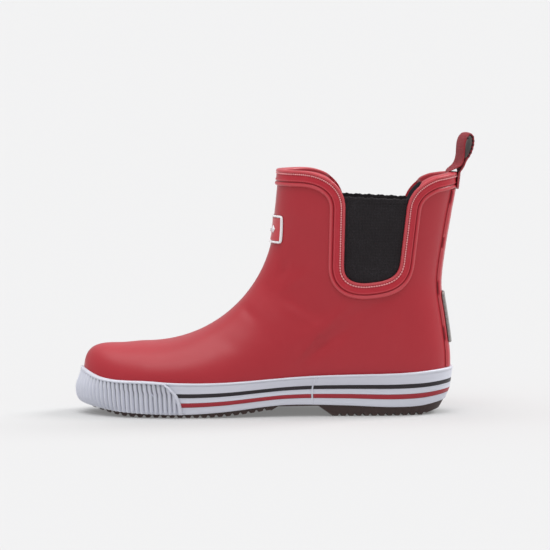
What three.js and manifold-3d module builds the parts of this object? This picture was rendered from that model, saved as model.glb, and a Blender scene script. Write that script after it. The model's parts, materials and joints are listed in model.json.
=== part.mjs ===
// A child's pull-on rubber rain boot for the right foot, in millimetres with +Z up.
// The toe points towards -X and the inner side of the foot faces -Y; Z = 0 is the floor.
// Rubber, cloth and sole are separate layers, each laid on the one inside it with a small gap.
import * as THREE from "three";
import { mergeVertices } from "three/addons/utils/BufferGeometryUtils.js";
import Module from "manifold-3d";

const wasm = await Module();
wasm.setup();
const { lerp, smoothstep, clamp } = THREE.MathUtils;

// ---------------------------------------------------------------- driving dimensions
const GAP = 0.3; // between two layers that lie on each other

// The outside of the upper, which takes its shape from the foot.
const TOE_X = -114.6;
const TOE_TIP_Z = 20;
const TOE_TOP_Z = 41.6;
const TOE_ROUND = 21.6; // length of the rounded tip in side view
const TOE_SQUARE = 3.5; // exponent of the tip's side view: 2 is an ellipse, more is blunter
const BALL_X = -50;
const BALL_HALF_WIDTH = 40.5;
const BEND_X = -76.6; // the instep is a hollow arc about this point
const BEND_Z = 119.2;
const BEND_R = 76.5;
const SHAFT_RAKE = 0.1; // how far the shaft's front runs back per millimetre of height
const COLLAR_Z = 146; // top of the collar at the front
const COLLAR_DROP = 1.5; // the rear of the collar is lower by this

// Layers of the upper, from the outside in.
const UPPER_WALL = 1.6;
const STIFFENER = 0.8; // toe puff and heel counter
const BOARD = 1.5;
const LINING = 0.9;
const BINDING = 0.7;
const FOOTBED = 4;
const FOOTBED_SIDE_CLEARANCE = 1;
const LASTING_MARGIN = 14; // the upper turns in under the foot by this much

// Elastic gore and the trim band round it.
const GORE_FRONT = 42;
const GORE_REAR = 78.2;
const GORE_REAR_LOW = 74.4;
const GORE_LOW = 79.6;
const GORE_DROP = 16; // the gore's top edge is this far below the collar
const GORE_THICKNESS = 1.2;
const BAND_WIDTH = 9.6;
const BAND_THICKNESS = 1.1;
const SEAM_LAP = 2; // the band overlaps the edges of the gore and the upper by this

// Trims.
const STAY_WIDTH = 22;
const STAY_THICKNESS = 1;
const REFLECTOR = { width: 15, low: 42, high: 72.5, thickness: 1.3 };
const BADGE = { width: 35, low: 102, high: 118.7, frame: 1.3, thickness: 1.2, field: 0.7 };
const PIP = { count: 3, size: 4.6, pitch: 8.5, thickness: 0.6 };
const STRAP = { width: 16, thickness: 1.3, tape: 0.5, tail: 1.1, outerTail: 8.6, innerTail: 17 };
const LOOP_X = 108.6; // the pull loop swings about this point
const LOOP_LIFT = 2.7; // height of that point above the rear of the collar

// Sole unit.
const FOXING = 2.1;
const FOXING_LAP = 1; // the foxing's raw strip starts this far inside the upper and is cut back to it
const STRIPE_DEPTH = 0.9;
const STRIPE_CLEARANCE = 0.3;
const RED_STRIPE = [0.225, 0.37]; // as parts of the foxing's height
const BLACK_STRIPE = [0.53, 0.66];
const JOINT_X = 24.3; // where the ends of the foxing meet, on the inner side
const BUMPER = 2.2;
const BUMPER_END_X = -56;
const RIM_SETBACK = 0.6; // the outsole's rim stands in from the foxing by this
const LUG_PITCH = 5.7;
const LUG_DEPTH = 2.2;
const HEEL_LEAN = 0.4; // how far the heel leans in per millimetre, under LEAN_Z
const LEAN_Z = 16;
const HEEL_BREAST_X = 31;
const ARCH_X = -2; // the forefoot's lugs end here

// A smooth function through points chosen by hand: [place, value, value...].
function through(...points) {
  const size = points[0].length - 1;
  const places = points.map((p) => p[0]);
  const values = points.flatMap((p) => p.slice(1));
  const curve = new THREE.CubicInterpolant(places, values, size);
  return (at) => {
    const made = curve.evaluate(clamp(at, places[0], places.at(-1)));
    return size === 1 ? made[0] : Array.from(made);
  };
}

// ---------------------------------------------------------------- side view of the upper
const SHAFT_START = (BEND_R * Math.PI) / 2; // station where the instep's arc ends
const TOP_Z = COLLAR_Z + 6; // the raw layers run past the collar and are cut there

const soleZ = through([TOE_X, 9.4], [-93, 8.2], [-75, 6.8], [-50, 6.4], [-20, 7.6], [10, 9.6], [40, 10], [92, 9.6]);
const foxingTop = through(
  [TOE_X, 27.5], [-105, 23.8], [-97, 22.4], [-75, 21.9], [-60, 21], [-30, 21], [24.5, 24.6], [70, 26], [104, 27.9],
);
const foxingLow = through(
  [TOE_X, 6.5], [-104, 4.4], [-90, 3.2], [-56, 2.2], [-33, 3.4], [-4, 6.4], [5, 7.1], [42, 6.6], [71, 5.4],
  [88, 5.8], [102, 8.2],
);

// The blunt tip's share of its full height, at x.
function tipShare(x) {
  const u = clamp((TOE_X + TOE_ROUND - x) / TOE_ROUND, 0, 1);
  return (1 - u ** TOE_SQUARE) ** (1 / TOE_SQUARE);
}

function ridgeZ(x) {
  const flat = lerp(TOE_TOP_Z, BEND_Z - BEND_R, smoothstep(x, TOE_X + TOE_ROUND, BEND_X));
  return lerp(TOE_TIP_Z, flat, tipShare(x));
}

const heelLine = new THREE.CatmullRomCurve3(
  [
    [BEND_X], [-50], [-20], [10], [40], [70], [90],
    [101.3, 13.5], [103.9, 22], [104.4, 33], [103.6, 43], [101.4, 59], [99.3, 73], [99.3, 83],
    [101.8, 101.6], [105, 120.8], [107.6, 135], [108.8, TOP_Z + 4],
  ].map(([x, z = soleZ(x)]) => new THREE.Vector3(x, 0, z)),
);

// A station is the distance along the front of the boot, 0 where the instep's arc starts:
// upright slices before it, slices that fan about the bend's centre, then level slices.
function station(x, z) {
  if (x <= BEND_X) return x - BEND_X;
  if (z < BEND_Z) return BEND_R * Math.atan2(x - BEND_X, BEND_Z - z);
  return SHAFT_START + z - BEND_Z;
}

// Where the slice at station s starts, and which way it runs through the boot.
function sliceStart(s) {
  if (s <= 0) return { x: BEND_X + s, z: ridgeZ(BEND_X + s), dx: 0, dz: -1 };
  const turn = Math.min(s / BEND_R, Math.PI / 2);
  const rise = Math.max(s - SHAFT_START, 0);
  const [dx, dz] = [Math.sin(turn), -Math.cos(turn)];
  return { x: BEND_X + BEND_R * dx + SHAFT_RAKE * rise, z: BEND_Z + BEND_R * dz + rise, dx, dz };
}

function sliceLengthOf(s) {
  const start = sliceStart(s);
  if (s <= 0) return start.z - lerp(TOE_TIP_Z, soleZ(start.x), tipShare(start.x));
  let [low, high] = [0, 1];
  for (let i = 0; i < 40; i++) {
    const at = (low + high) / 2;
    const p = heelLine.getPoint(at);
    if (station(p.x, p.z) < s) low = at;
    else high = at;
  }
  const end = heelLine.getPoint(low);
  return Math.hypot(end.x - start.x, end.z - start.z);
}

const LAST_STATION = SHAFT_START + TOP_Z - BEND_Z;
const fanStations = Array.from({ length: 101 }, (_, i) => (i / 100) * LAST_STATION);
const fanLength = through(...fanStations.map((s) => [s, sliceLengthOf(s)]));
const sliceLength = (s) => (s <= 0 ? sliceLengthOf(s) : fanLength(s));

// station: half width, place of the widest point, fullness of the front and back halves, shift to the outer side
const sliceShape = through(
  [TOE_X - BEND_X, BALL_HALF_WIDTH, 0.62, 2.2, 2.7, -3],
  [0, BALL_HALF_WIDTH, 0.66, 2.2, 3.2, 0],
  [17.6, BALL_HALF_WIDTH, 0.68, 2.2, 3.4, 1],
  [30, BALL_HALF_WIDTH - 0.6, 0.7, 2.15, 3.4, 2.4],
  [46, BALL_HALF_WIDTH - 4.5, 0.68, 2.2, 3.2, 3.4],
  [58, 32.8, 0.64, 2.3, 2.9, 2.6],
  [70, 31.6, 0.6, 2.4, 2.7, 0.8],
  [83, 31.3, 0.58, 2.4, 2.3, 0],
  [100, 31.9, 0.54, 2.3, 2.2, 0],
  [SHAFT_START, 34, 0.5, 2.3, 2.2, 0],
  [LAST_STATION, 35.4, 0.5, 2.3, 2.2, 0],
);

function slice(s) {
  const [full, mid, front, back, shift] = sliceShape(s);
  const ahead = clamp((BALL_X - BEND_X - s) / (BALL_X - TOE_X), 0, 1);
  return { half: full * Math.sqrt(1 - ahead * ahead), mid, front, back, shift, length: sliceLength(s) };
}

// ---------------------------------------------------------------- solids
function solid(points, faces) {
  const flat = new Float32Array(points.flatMap((p) => [p.x, p.y, p.z]));
  const geometry = new THREE.BufferGeometry().setAttribute("position", new THREE.BufferAttribute(flat, 3));
  return solidOf(geometry.setIndex(faces.flat()));
}

function solidOf(geometry) {
  geometry.deleteAttribute("normal");
  geometry.deleteAttribute("uv");
  const merged = mergeVertices(geometry, 1e-4);
  const triVerts = new Uint32Array(merged.index.array);
  const vertProperties = merged.attributes.position.array;
  const made = new wasm.Manifold(new wasm.Mesh({ numProp: 3, vertProperties, triVerts }));
  if (made.volume() >= 0) return made;
  return new wasm.Manifold(new wasm.Mesh({ numProp: 3, vertProperties, triVerts: triVerts.reverse() }));
}

// Rings of points joined into a tube, closed by a fan to one point at each end.
function closedTube(rings, first, last) {
  const n = rings[0].length;
  const points = [...rings.flat(), first, last];
  const faces = [];
  rings.forEach((_, r) => {
    for (let j = 0; j < n; j++) {
      const [a, b] = [r * n + j, r * n + ((j + 1) % n)];
      if (r === 0) faces.push([points.length - 2, b, a]);
      if (r < rings.length - 1) faces.push([a, b, b + n], [a, b + n, a + n]);
      else faces.push([a, b, points.length - 1]);
    }
  });
  return solid(points, faces);
}

const ROUND = 20; // points round one slice
const STATIONS = [
  ...[0.14, 0.3, 0.46, 0.62, 0.79].map((u) => (TOE_X - BEND_X) * (1 - u * u)),
  ...Array.from({ length: 13 }, (_, i) => (i / 12) * SHAFT_START),
  ...[0.5, 1].map((u) => lerp(SHAFT_START, LAST_STATION, u)),
];

function skinPoint(s, angle) {
  const { half, mid, front, back, shift, length } = slice(s);
  const start = sliceStart(s);
  const [c, w] = [Math.cos(angle), Math.sin(angle)];
  const power = 2 / (c > 0 ? front : back);
  const reach = length * (c > 0 ? mid : 1 - mid);
  const along = length * mid - Math.sign(c) * reach * Math.abs(c) ** power;
  const y = Math.sign(w) * half * Math.abs(w) ** power + (shift * along) / length;
  return new THREE.Vector3(start.x + start.dx * along, y, start.z + start.dz * along);
}

// The closed skin of the upper moved inwards by a depth, a number or a function of the place; negative is outwards.
function skin(depth) {
  const depthAt = (p) => (typeof depth === "function" ? depth(p) : depth);
  const e = 0.01;
  const rings = STATIONS.map((s) =>
    Array.from({ length: ROUND }, (_, j) => {
      const angle = (j / ROUND) * 2 * Math.PI;
      const p = skinPoint(s, angle);
      const along = skinPoint(Math.min(s + e, LAST_STATION), angle).sub(skinPoint(s - e, angle));
      const across = skinPoint(s, angle + e).sub(skinPoint(s, angle - e));
      return p.addScaledVector(across.cross(along).normalize(), depthAt(p));
    }),
  );
  for (const p of rings.at(-1)) p.z = TOP_Z;
  const tip = new THREE.Vector3(TOE_X, slice(TOE_X - BEND_X).shift / 2, TOE_TIP_Z);
  tip.x += depthAt(tip);
  const end = new THREE.Vector3(BEND_X + BEND_R + 50, 0, TOP_Z);
  return closedTube(rings, tip, end);
}

const layer = (outer, inner) => skin(outer).subtract(skin(inner));

// ---------------------------------------------------------------- plan view of the wall over the sole
const HUB_X = -5;
const WALL_RISE = 8; // under this height above the sole line the wall goes straight down
const REF_Z = 18;

function insideUpper(x, y, z) {
  const s = station(x, z);
  if (s <= TOE_X - BEND_X) return false;
  const { half, mid, front, back, shift, length } = slice(s);
  const start = sliceStart(s);
  const along = (x - start.x) * start.dx + (z - start.z) * start.dz;
  if (along <= 0 || along >= length) return false;
  const middle = length * mid;
  const [u, n] = along < middle ? [1 - along / middle, front] : [(along - middle) / (length - middle), back];
  return Math.abs(y - (shift * along) / length) < half * (1 - u ** n) ** (1 / n);
}

function wallPlace(turn, z) {
  let [low, high] = [0, 200];
  for (let i = 0; i < 30; i++) {
    const r = (low + high) / 2;
    if (insideUpper(HUB_X + r * Math.cos(turn), r * Math.sin(turn), z)) low = r;
    else high = r;
  }
  return new THREE.Vector2(HUB_X + low * Math.cos(turn), low * Math.sin(turn));
}

// A point of the wall, out from the upper by a distance; the heel leans in towards the floor.
function wall(turn, z, out) {
  const heights = Math.max(z, soleZ(wallPlace(turn, REF_Z).x) + WALL_RISE);
  const p = wallPlace(turn, heights);
  const t = wallPlace(turn + 0.01, heights).sub(wallPlace(turn - 0.01, heights)).normalize();
  const lean = HEEL_LEAN * Math.max(LEAN_Z - z, 0) * smoothstep(p.x, 60, 102);
  return new THREE.Vector3(p.x + t.y * (out - lean), p.y - t.x * (out - lean), z);
}

// Turns between two ends, closer together where the wall curves more.
function turns(count, from, to) {
  const fine = Array.from({ length: 361 }, (_, i) => lerp(from, to, i / 360));
  const places = fine.map((a) => wallPlace(a, REF_Z));
  const measure = [0];
  for (let i = 1; i < places.length; i++) {
    const step = places[i].clone().sub(places[i - 1]);
    const before = places[i - 1].clone().sub(places[Math.max(i - 2, 0)]);
    const bend = i > 1 ? Math.abs(Math.atan2(before.cross(step), before.dot(step))) : 0;
    measure.push(measure[i - 1] + step.length() / 400 + bend / 4);
  }
  return Array.from({ length: count + 1 }, (_, k) => {
    const want = (measure.at(-1) * k) / count;
    const i = clamp(measure.findIndex((m) => m >= want), 1, 360);
    return lerp(fine[i - 1], fine[i], (want - measure[i - 1]) / (measure[i] - measure[i - 1]));
  });
}

const JOINT_TURN = -Math.atan2(33, JOINT_X - HUB_X);
const WALL_TURNS = turns(58, JOINT_TURN + 0.005, JOINT_TURN + 2 * Math.PI - 0.005);

// A solid block with the wall's outline; each level is [height or function of x, distance out].
function block(...levels) {
  const rings = levels.map(([height, out]) =>
    WALL_TURNS.slice(0, -1).map((turn) => {
      const x = wallPlace(turn, REF_Z).x;
      return wall(turn, typeof height === "function" ? height(x) : height, out);
    }),
  );
  const centre = (ring) => ring.reduce((sum, p) => sum.add(p), new THREE.Vector3()).divideScalar(ring.length);
  return closedTube(rings, centre(rings[0]), centre(rings.at(-1)));
}

// A strip laid round the wall: the profile is a closed outline of [share of the foxing's height, distance out].
function strip(profile, along) {
  const rings = along.map((turn) => {
    const x = wallPlace(turn, REF_Z).x;
    return profile.map(([share, out]) => wall(turn, lerp(foxingLow(x), foxingTop(x), share), out));
  });
  const n = profile.length;
  const outline = profile.map(([share, out]) => new THREE.Vector2(out, share * 20));
  const cap = THREE.ShapeUtils.triangulateShape(outline, []);
  const end = (rings.length - 1) * n;
  const faces = cap.flatMap(([a, b, c]) => [[a, c, b], [end + a, end + b, end + c]]);
  for (let r = 0; r < rings.length - 1; r++) {
    for (let j = 0; j < n; j++) {
      const [a, b] = [r * n + j, r * n + ((j + 1) % n)];
      faces.push([a, b, b + n], [a, b + n, a + n]);
    }
  }
  return solid(rings.flat(), faces);
}

// ---------------------------------------------------------------- cutters
// A side view outline of [x, z] points, run right through the boot.
function prism(points) {
  const shape = new THREE.Shape(points.map(([x, z]) => new THREE.Vector2(x, z)));
  const geometry = new THREE.ExtrudeGeometry(shape, { depth: 200, bevelEnabled: false });
  return solidOf(geometry.rotateX(Math.PI / 2).translate(0, 100, 0));
}

function box([x0, x1], [y0, y1], [z0, z1]) {
  const geometry = new THREE.BoxGeometry(x1 - x0, y1 - y0, z1 - z0);
  return solidOf(geometry.translate((x0 + x1) / 2, (y0 + y1) / 2, (z0 + z1) / 2));
}

// The free edge in side view: along the collar, down round the gore and up to the collar again.
const REAR_Z = COLLAR_Z - COLLAR_DROP;
const SHOULDER = COLLAR_Z - 22;
const edge = new THREE.Path();
edge.moveTo(-30, COLLAR_Z);
edge.lineTo(GORE_FRONT - 27, COLLAR_Z);
edge.bezierCurveTo(GORE_FRONT - 12, COLLAR_Z, GORE_FRONT, COLLAR_Z - 8, GORE_FRONT, SHOULDER);
edge.lineTo(GORE_FRONT - 0.8, GORE_LOW + 10);
edge.bezierCurveTo(GORE_FRONT - 0.8, GORE_LOW + 3, GORE_FRONT + 3, GORE_LOW, GORE_FRONT + 12, GORE_LOW);
edge.bezierCurveTo(GORE_REAR_LOW - 8, GORE_LOW + 1, GORE_REAR_LOW - 1, GORE_LOW + 3, GORE_REAR_LOW, GORE_LOW + 12);
edge.lineTo(GORE_REAR, SHOULDER);
edge.bezierCurveTo(GORE_REAR + 1.3, SHOULDER + 9, GORE_REAR + 8, REAR_Z - 5, GORE_REAR + 18, REAR_Z - 2);
edge.lineTo(LOOP_X, REAR_Z);
edge.lineTo(LOOP_X + 30, REAR_Z);
const EDGE = edge.getPoints(6);

// The free edge moved into the boot's wall by a distance.
function edgeMoved(distance) {
  return EDGE.map((p, i) => {
    const before = EDGE[Math.max(i - 1, 0)];
    const after = EDGE[Math.min(i + 1, EDGE.length - 1)];
    const way = after.clone().sub(before).normalize();
    return [p.x + way.y * distance, p.y - way.x * distance];
  });
}

const belowEdge = (distance) => prism([...edgeMoved(distance), [200, -50], [-200, -50]]);
const alongEdge = (near, far) => prism([...edgeMoved(near), ...edgeMoved(far).reverse()]);

// ---------------------------------------------------------------- pieces
const boot = new THREE.Group();

function piece(name, made, color, roughness = 0.5) {
  const { vertProperties, triVerts } = made.getMesh();
  const geometry = new THREE.BufferGeometry();
  geometry.setAttribute("position", new THREE.BufferAttribute(vertProperties, 3));
  geometry.setIndex(new THREE.BufferAttribute(triVerts, 1));
  geometry.computeVertexNormals();
  const mesh = new THREE.Mesh(geometry, new THREE.MeshStandardMaterial({ color, roughness, metalness: 0 }));
  mesh.name = name;
  boot.add(mesh);
}

const RED = 0xb0323e;
const PALE = 0xcdd2de;
const BLACK = 0x201e20;
const BROWN = 0x3e302e;
const GREY = 0x96918a;

// How deep the layers inside the upper lie: deeper over the stiffeners and over the insole board.
const STIFF_DEPTH = UPPER_WALL + GAP;
const BOARD_DEPTH = UPPER_WALL + GAP;
const PUFF_X = -82;
const COUNTER_X = 62;
const COUNTER_Z = 58;
const nearBottom = (p) => 1 - smoothstep(p.z - soleZ(p.x), 6, 11);

function liningDepth(p) {
  const overToe = 1 - smoothstep(p.x, PUFF_X + 8, PUFF_X + 14);
  const belowCounterTop = 1 - smoothstep(p.z, COUNTER_Z + 16, COUNTER_Z + 28);
  const overHeel = smoothstep(p.x, COUNTER_X - 30, COUNTER_X - 18) * belowCounterTop;
  const stiff = Math.max(overToe, overHeel) * (STIFFENER + GAP);
  return UPPER_WALL + GAP + Math.max(stiff, nearBottom(p) * (BOARD + GAP));
}
const liningInside = (p) => liningDepth(p) + LINING;

function upperPieces() {
  const underFoot = (inset) => block([-5, -inset], [19, -inset]);
  const wholeUpper = layer(0, UPPER_WALL);
  piece(
    "rubber_upper",
    wholeUpper.intersect(belowEdge(SEAM_LAP + GAP)).subtract(underFoot(LASTING_MARGIN)),
    RED,
  );
  piece("midsole_filler", wholeUpper.intersect(underFoot(LASTING_MARGIN + GAP)), 0xb9a98c, 0.9);
  piece(
    "insole_board",
    layer(BOARD_DEPTH, BOARD_DEPTH + BOARD).intersect(underFoot(12)),
    0xa8906c,
    0.9,
  );
  const stiffener = layer(STIFF_DEPTH, STIFF_DEPTH + STIFFENER);
  const puffOutline = [[TOE_X - 20, 19], [PUFF_X + 3, 19], [PUFF_X - 4, 60], [TOE_X - 20, 60]];
  piece("toe_puff", stiffener.intersect(prism(puffOutline)), 0xd8d2c4, 0.8);
  const counterOutline = [
    [COUNTER_X, 20], [130, 20], [130, COUNTER_Z], [COUNTER_X + 22, COUNTER_Z - 4], [COUNTER_X + 4, 36],
  ];
  piece("heel_counter", stiffener.intersect(prism(counterOutline)), 0xd8d2c4, 0.8);
  const cloth = skin(liningDepth).subtract(skin(liningInside));
  piece("lining", cloth.intersect(belowEdge(SEAM_LAP + GAP)), 0x8c8a90, 0.95);
}

function footbed() {
  const clearance = (p) => lerp(FOOTBED_SIDE_CLEARANCE, GAP, nearBottom(p));
  const hollow = skin((p) => liningInside(p) + clearance(p));
  const top = (x) => soleZ(x) + UPPER_WALL + BOARD + LINING + 3 * GAP + GAP + FOOTBED;
  const xs = Array.from({ length: 13 }, (_, i) => lerp(TOE_X - 4, 106, i / 12));
  piece("footbed", hollow.intersect(prism([...xs.map((x) => [x, top(x)]), [130, -20], [-140, -20]])), 0x4a4c55, 0.9);
}

function collarPieces() {
  const outside = -(GAP + BAND_THICKNESS);
  const inside = UPPER_WALL + LINING + BINDING + 3 * GAP;
  const face = layer(outside, -GAP).intersect(alongEdge(0, BAND_WIDTH));
  const lip = layer(outside, inside)
    .intersect(alongEdge(0, SEAM_LAP))
    .subtract(box([GORE_FRONT - 9, GORE_REAR + 9], [-90, 90], [0, TOP_Z]));
  piece("collar_band", face.add(lip), RED);
  const tape = (p) => liningInside(p) + GAP;
  piece(
    "inner_binding",
    skin(tape).subtract(skin((p) => tape(p) + BINDING)).intersect(alongEdge(SEAM_LAP + GAP, BAND_WIDTH)),
    0x35333a,
    0.9,
  );
  const goreTop = prism([[0, COLLAR_Z - GORE_DROP + 3], [GORE_REAR + 40, COLLAR_Z - GORE_DROP - 2.6], [200, 0], [-100, 0]]);
  const elastic = layer(0.2, 0.2 + GORE_THICKNESS).subtract(belowEdge(SEAM_LAP)).intersect(goreTop);
  piece("gore_medial", elastic.intersect(box([0, 130], [-90, 0], [0, TOP_Z])), BLACK, 0.9);
  piece("gore_lateral", elastic.intersect(box([0, 130], [0, 90], [0, TOP_Z])), BLACK, 0.9);
}

function backPieces() {
  const stayTop = belowEdge(BAND_WIDTH + GAP);
  const stayFoot = prism([[60, foxingTop(70) + GAP], [104, foxingTop(104) + GAP], [130, foxingTop(104) + GAP], [130, 200], [60, 200]]);
  const half = STAY_WIDTH / 2;
  const stay = layer(-(GAP + STAY_THICKNESS), -GAP).intersect(box([60, 130], [-half, half], [0, TOP_Z]));
  piece("back_stay", stay.intersect(stayTop).intersect(stayFoot), RED);
  const onStay = 2 * GAP + STAY_THICKNESS;
  const { width, low, high, thickness } = REFLECTOR;
  piece(
    "heel_reflector",
    layer(-(onStay + thickness), -onStay).intersect(box([60, 130], [-width / 2, width / 2], [low, high])),
    GREY,
    0.35,
  );
}

function badgePieces() {
  const { width, low, high, frame, thickness, field } = BADGE;
  const block = (inset) => box([-60, 30], [inset - width / 2, width / 2 - inset], [low + inset, high - inset]);
  piece("badge_frame", layer(-(GAP + thickness), -GAP).intersect(block(0)).subtract(block(frame)), 0xf4f4f6, 0.4);
  piece("badge_field", layer(-(GAP + field), -GAP).intersect(block(frame + GAP)), 0xc84b50);
  const onField = 2 * GAP + field;
  const raised = layer(-(onField + PIP.thickness), -onField);
  for (let k = 0; k < PIP.count; k++) {
    const lozenge = new THREE.CylinderGeometry(PIP.size / 2, PIP.size / 2, 60, 4).rotateZ(Math.PI / 2);
    lozenge.translate(-10, (k - (PIP.count - 1) / 2) * PIP.pitch, (low + high) / 2);
    piece("badge_pip_" + (k + 1), raised.intersect(solidOf(lozenge)), 0xf4f4f6, 0.4);
  }
}

function loopPieces() {
  const z0 = REAR_Z + LOOP_LIFT;
  const centre = [
    [0, -1.1], [-1.5, 0.3], [0.1, 6], [0.7, 12], [2.2, 16.6], [4.8, 19.3], [7.4, 19.9], [9.3, 17.7], [9.6, 13.7],
    [8, 9.2], [5, 4.4], [1.6, 0.4],
  ].map(([x, z]) => new THREE.Vector3(LOOP_X + x, 0, z0 + z));
  const curve = new THREE.CatmullRomCurve3(centre, true);
  const ring = (inset, from = 0, to = 1, count = 40) =>
    Array.from({ length: count + 1 }, (_, i) => {
      const at = lerp(from, to, i / count);
      const p = curve.getPointAt(at % 1);
      const t = curve.getTangentAt(at % 1);
      return [p.x + t.z * inset, p.z - t.x * inset];
    });
  const across = box([60, 160], [-STRAP.width / 2, STRAP.width / 2], [0, 300]);
  const half = STRAP.thickness / 2;
  const wholeLoop = prism(ring(-half).slice(0, -1)).subtract(prism(ring(half).slice(0, -1)));
  piece("pull_loop", wholeLoop.intersect(across), RED, 0.6);
  const tape = [...ring(half + GAP, 0.52, 0.84, 14), ...ring(half + GAP + STRAP.tape, 0.52, 0.84, 14).reverse()];
  piece("loop_reflector", prism(tape).intersect(across), GREY, 0.35);

  const sewn = (low, high) => box([80, 130], [-STRAP.width / 2, STRAP.width / 2], [low, high]);
  const outer = -(2 * GAP + BAND_THICKNESS);
  const top = REAR_Z - 2;
  piece("loop_tail_outer", layer(outer - STRAP.tail, outer).intersect(sewn(top - STRAP.outerTail, top)), RED, 0.6);
  const inner = UPPER_WALL + LINING + BINDING + 4 * GAP;
  piece("loop_tail_inner", layer(inner, inner + STRAP.tail).intersect(sewn(top - STRAP.innerTail, top)), RED, 0.6);
}

function soleStrips() {
  const [near, far] = [-FOXING_LAP, GAP + FOXING];
  const floor = far - STRIPE_DEPTH;
  const groove = ([low, high]) => [[low, far], [low, floor], [high, floor], [high, far]];
  piece(
    "foxing",
    strip([[0, near], [0, far], ...groove(RED_STRIPE), ...groove(BLACK_STRIPE), [1, far], [1, near], [RED_STRIPE[1], near], [RED_STRIPE[0], near]], WALL_TURNS).subtract(
      skin(-GAP),
    ),
    PALE,
  );
  const side = STRIPE_CLEARANCE / 20;
  const filled = ([low, high]) => [
    [low + side, floor + STRIPE_CLEARANCE], [low + side, far], [high - side, far], [high - side, floor + STRIPE_CLEARANCE],
  ];
  piece("red_stripe", strip(filled(RED_STRIPE), WALL_TURNS), 0xaf2d3c);
  piece("black_stripe", strip(filled(BLACK_STRIPE), WALL_TURNS), 0x2d2830);

  const toe = WALL_TURNS.filter((turn) => wallPlace(turn, REF_Z).x < BUMPER_END_X + 14);
  const [inner, outer] = [far + GAP, far + GAP + BUMPER];
  const back = [...BLACK_STRIPE].reverse().concat([...RED_STRIPE].reverse()).map((share) => [share, inner]);
  const bumper = strip([[0, inner], [-0.03, outer - 1], [0.12, outer], [0.94, outer], [1, outer - 0.8], [1, inner], ...back], toe);
  const rear = new THREE.Path();
  rear.moveTo(BUMPER_END_X, -5);
  rear.bezierCurveTo(BUMPER_END_X, 8, BUMPER_END_X - 2, 18, BUMPER_END_X - 17, 22);
  const ahead = prism([...rear.getPoints(9).map((p) => [p.x, p.y]), [BUMPER_END_X - 22, 40], [TOE_X - 30, 40], [TOE_X - 30, -5]]);
  piece("toe_bumper", bumper.intersect(ahead), PALE);
}

function outsole() {
  const treadLine = through([TOE_X - 6, 6], [-108, 4], [-100, 2.2], [-88, 0.5], [-78, 0], [-40, 0], [-26, 0.8], [-14, 2.2], [ARCH_X, 4]);
  const floorLine = (x) => Math.max(treadLine(x), 0);
  const under = [];
  const count = Math.round((ARCH_X - TOE_X) / LUG_PITCH);
  for (let k = 0; k < count; k++) {
    const x = TOE_X + k * LUG_PITCH;
    const [a, b] = [x + LUG_PITCH * 0.12, x + LUG_PITCH * 0.68];
    const groove = LUG_DEPTH + floorLine((a + b) / 2);
    under.push([a - 0.3, groove], [a, floorLine(a)], [b, floorLine(b)], [b + 0.3, groove]);
  }
  const arch = foxingLow(10) - 1.2;
  under.push([ARCH_X + 2, arch], [HEEL_BREAST_X - 5, arch]);
  const heelEnd = 90;
  const heelLugs = Math.round((heelEnd - HEEL_BREAST_X) / LUG_PITCH);
  for (let k = 0; k < heelLugs; k++) {
    const x = HEEL_BREAST_X + 4 + (k * (heelEnd - HEEL_BREAST_X - 4)) / heelLugs;
    const [a, b] = [x + LUG_PITCH * 0.02, x + LUG_PITCH * 0.66];
    if (k > 0) under.push([a - 0.3, LUG_DEPTH]);
    under.push([a, 0], [b, 0], [b + 0.3, LUG_DEPTH]);
  }
  under.push([heelEnd, LUG_DEPTH], [heelEnd + 0.3, 0.9], [98, 3.2], [101.5, 6], [120, 8]);
  const side = prism([[TOE_X - 20, 30], [TOE_X - 20, 7], ...under, [120, 30]].reverse());
  const rim = GAP + FOXING - RIM_SETBACK;
  const inner = -FOXING_LAP - GAP;
  const seat = (x) => foxingLow(x) - GAP;
  const body = block([-1, rim], [seat, rim], [seat, inner], [(x) => soleZ(x) + 2.2, inner]);
  piece("outsole", body.intersect(side).subtract(skin(-GAP)), BROWN, 0.7);
}

upperPieces();
footbed();
collarPieces();
backPieces();
badgePieces();
loopPieces();
soleStrips();
outsole();

export default boot;
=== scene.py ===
# %% [markdown]
# # A child's rubber rain boot
# A vulcanised rubber boot is built in layers on a foot-shaped form: a cloth lining, stiffeners, one red
# rubber shell, and then strips of rubber laid round the sole. This lesson builds it the same way. The form
# is a formula, and every layer, band and trim is that formula moved out or in by a thickness.

# %% Load the frame
import json
import math

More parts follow.
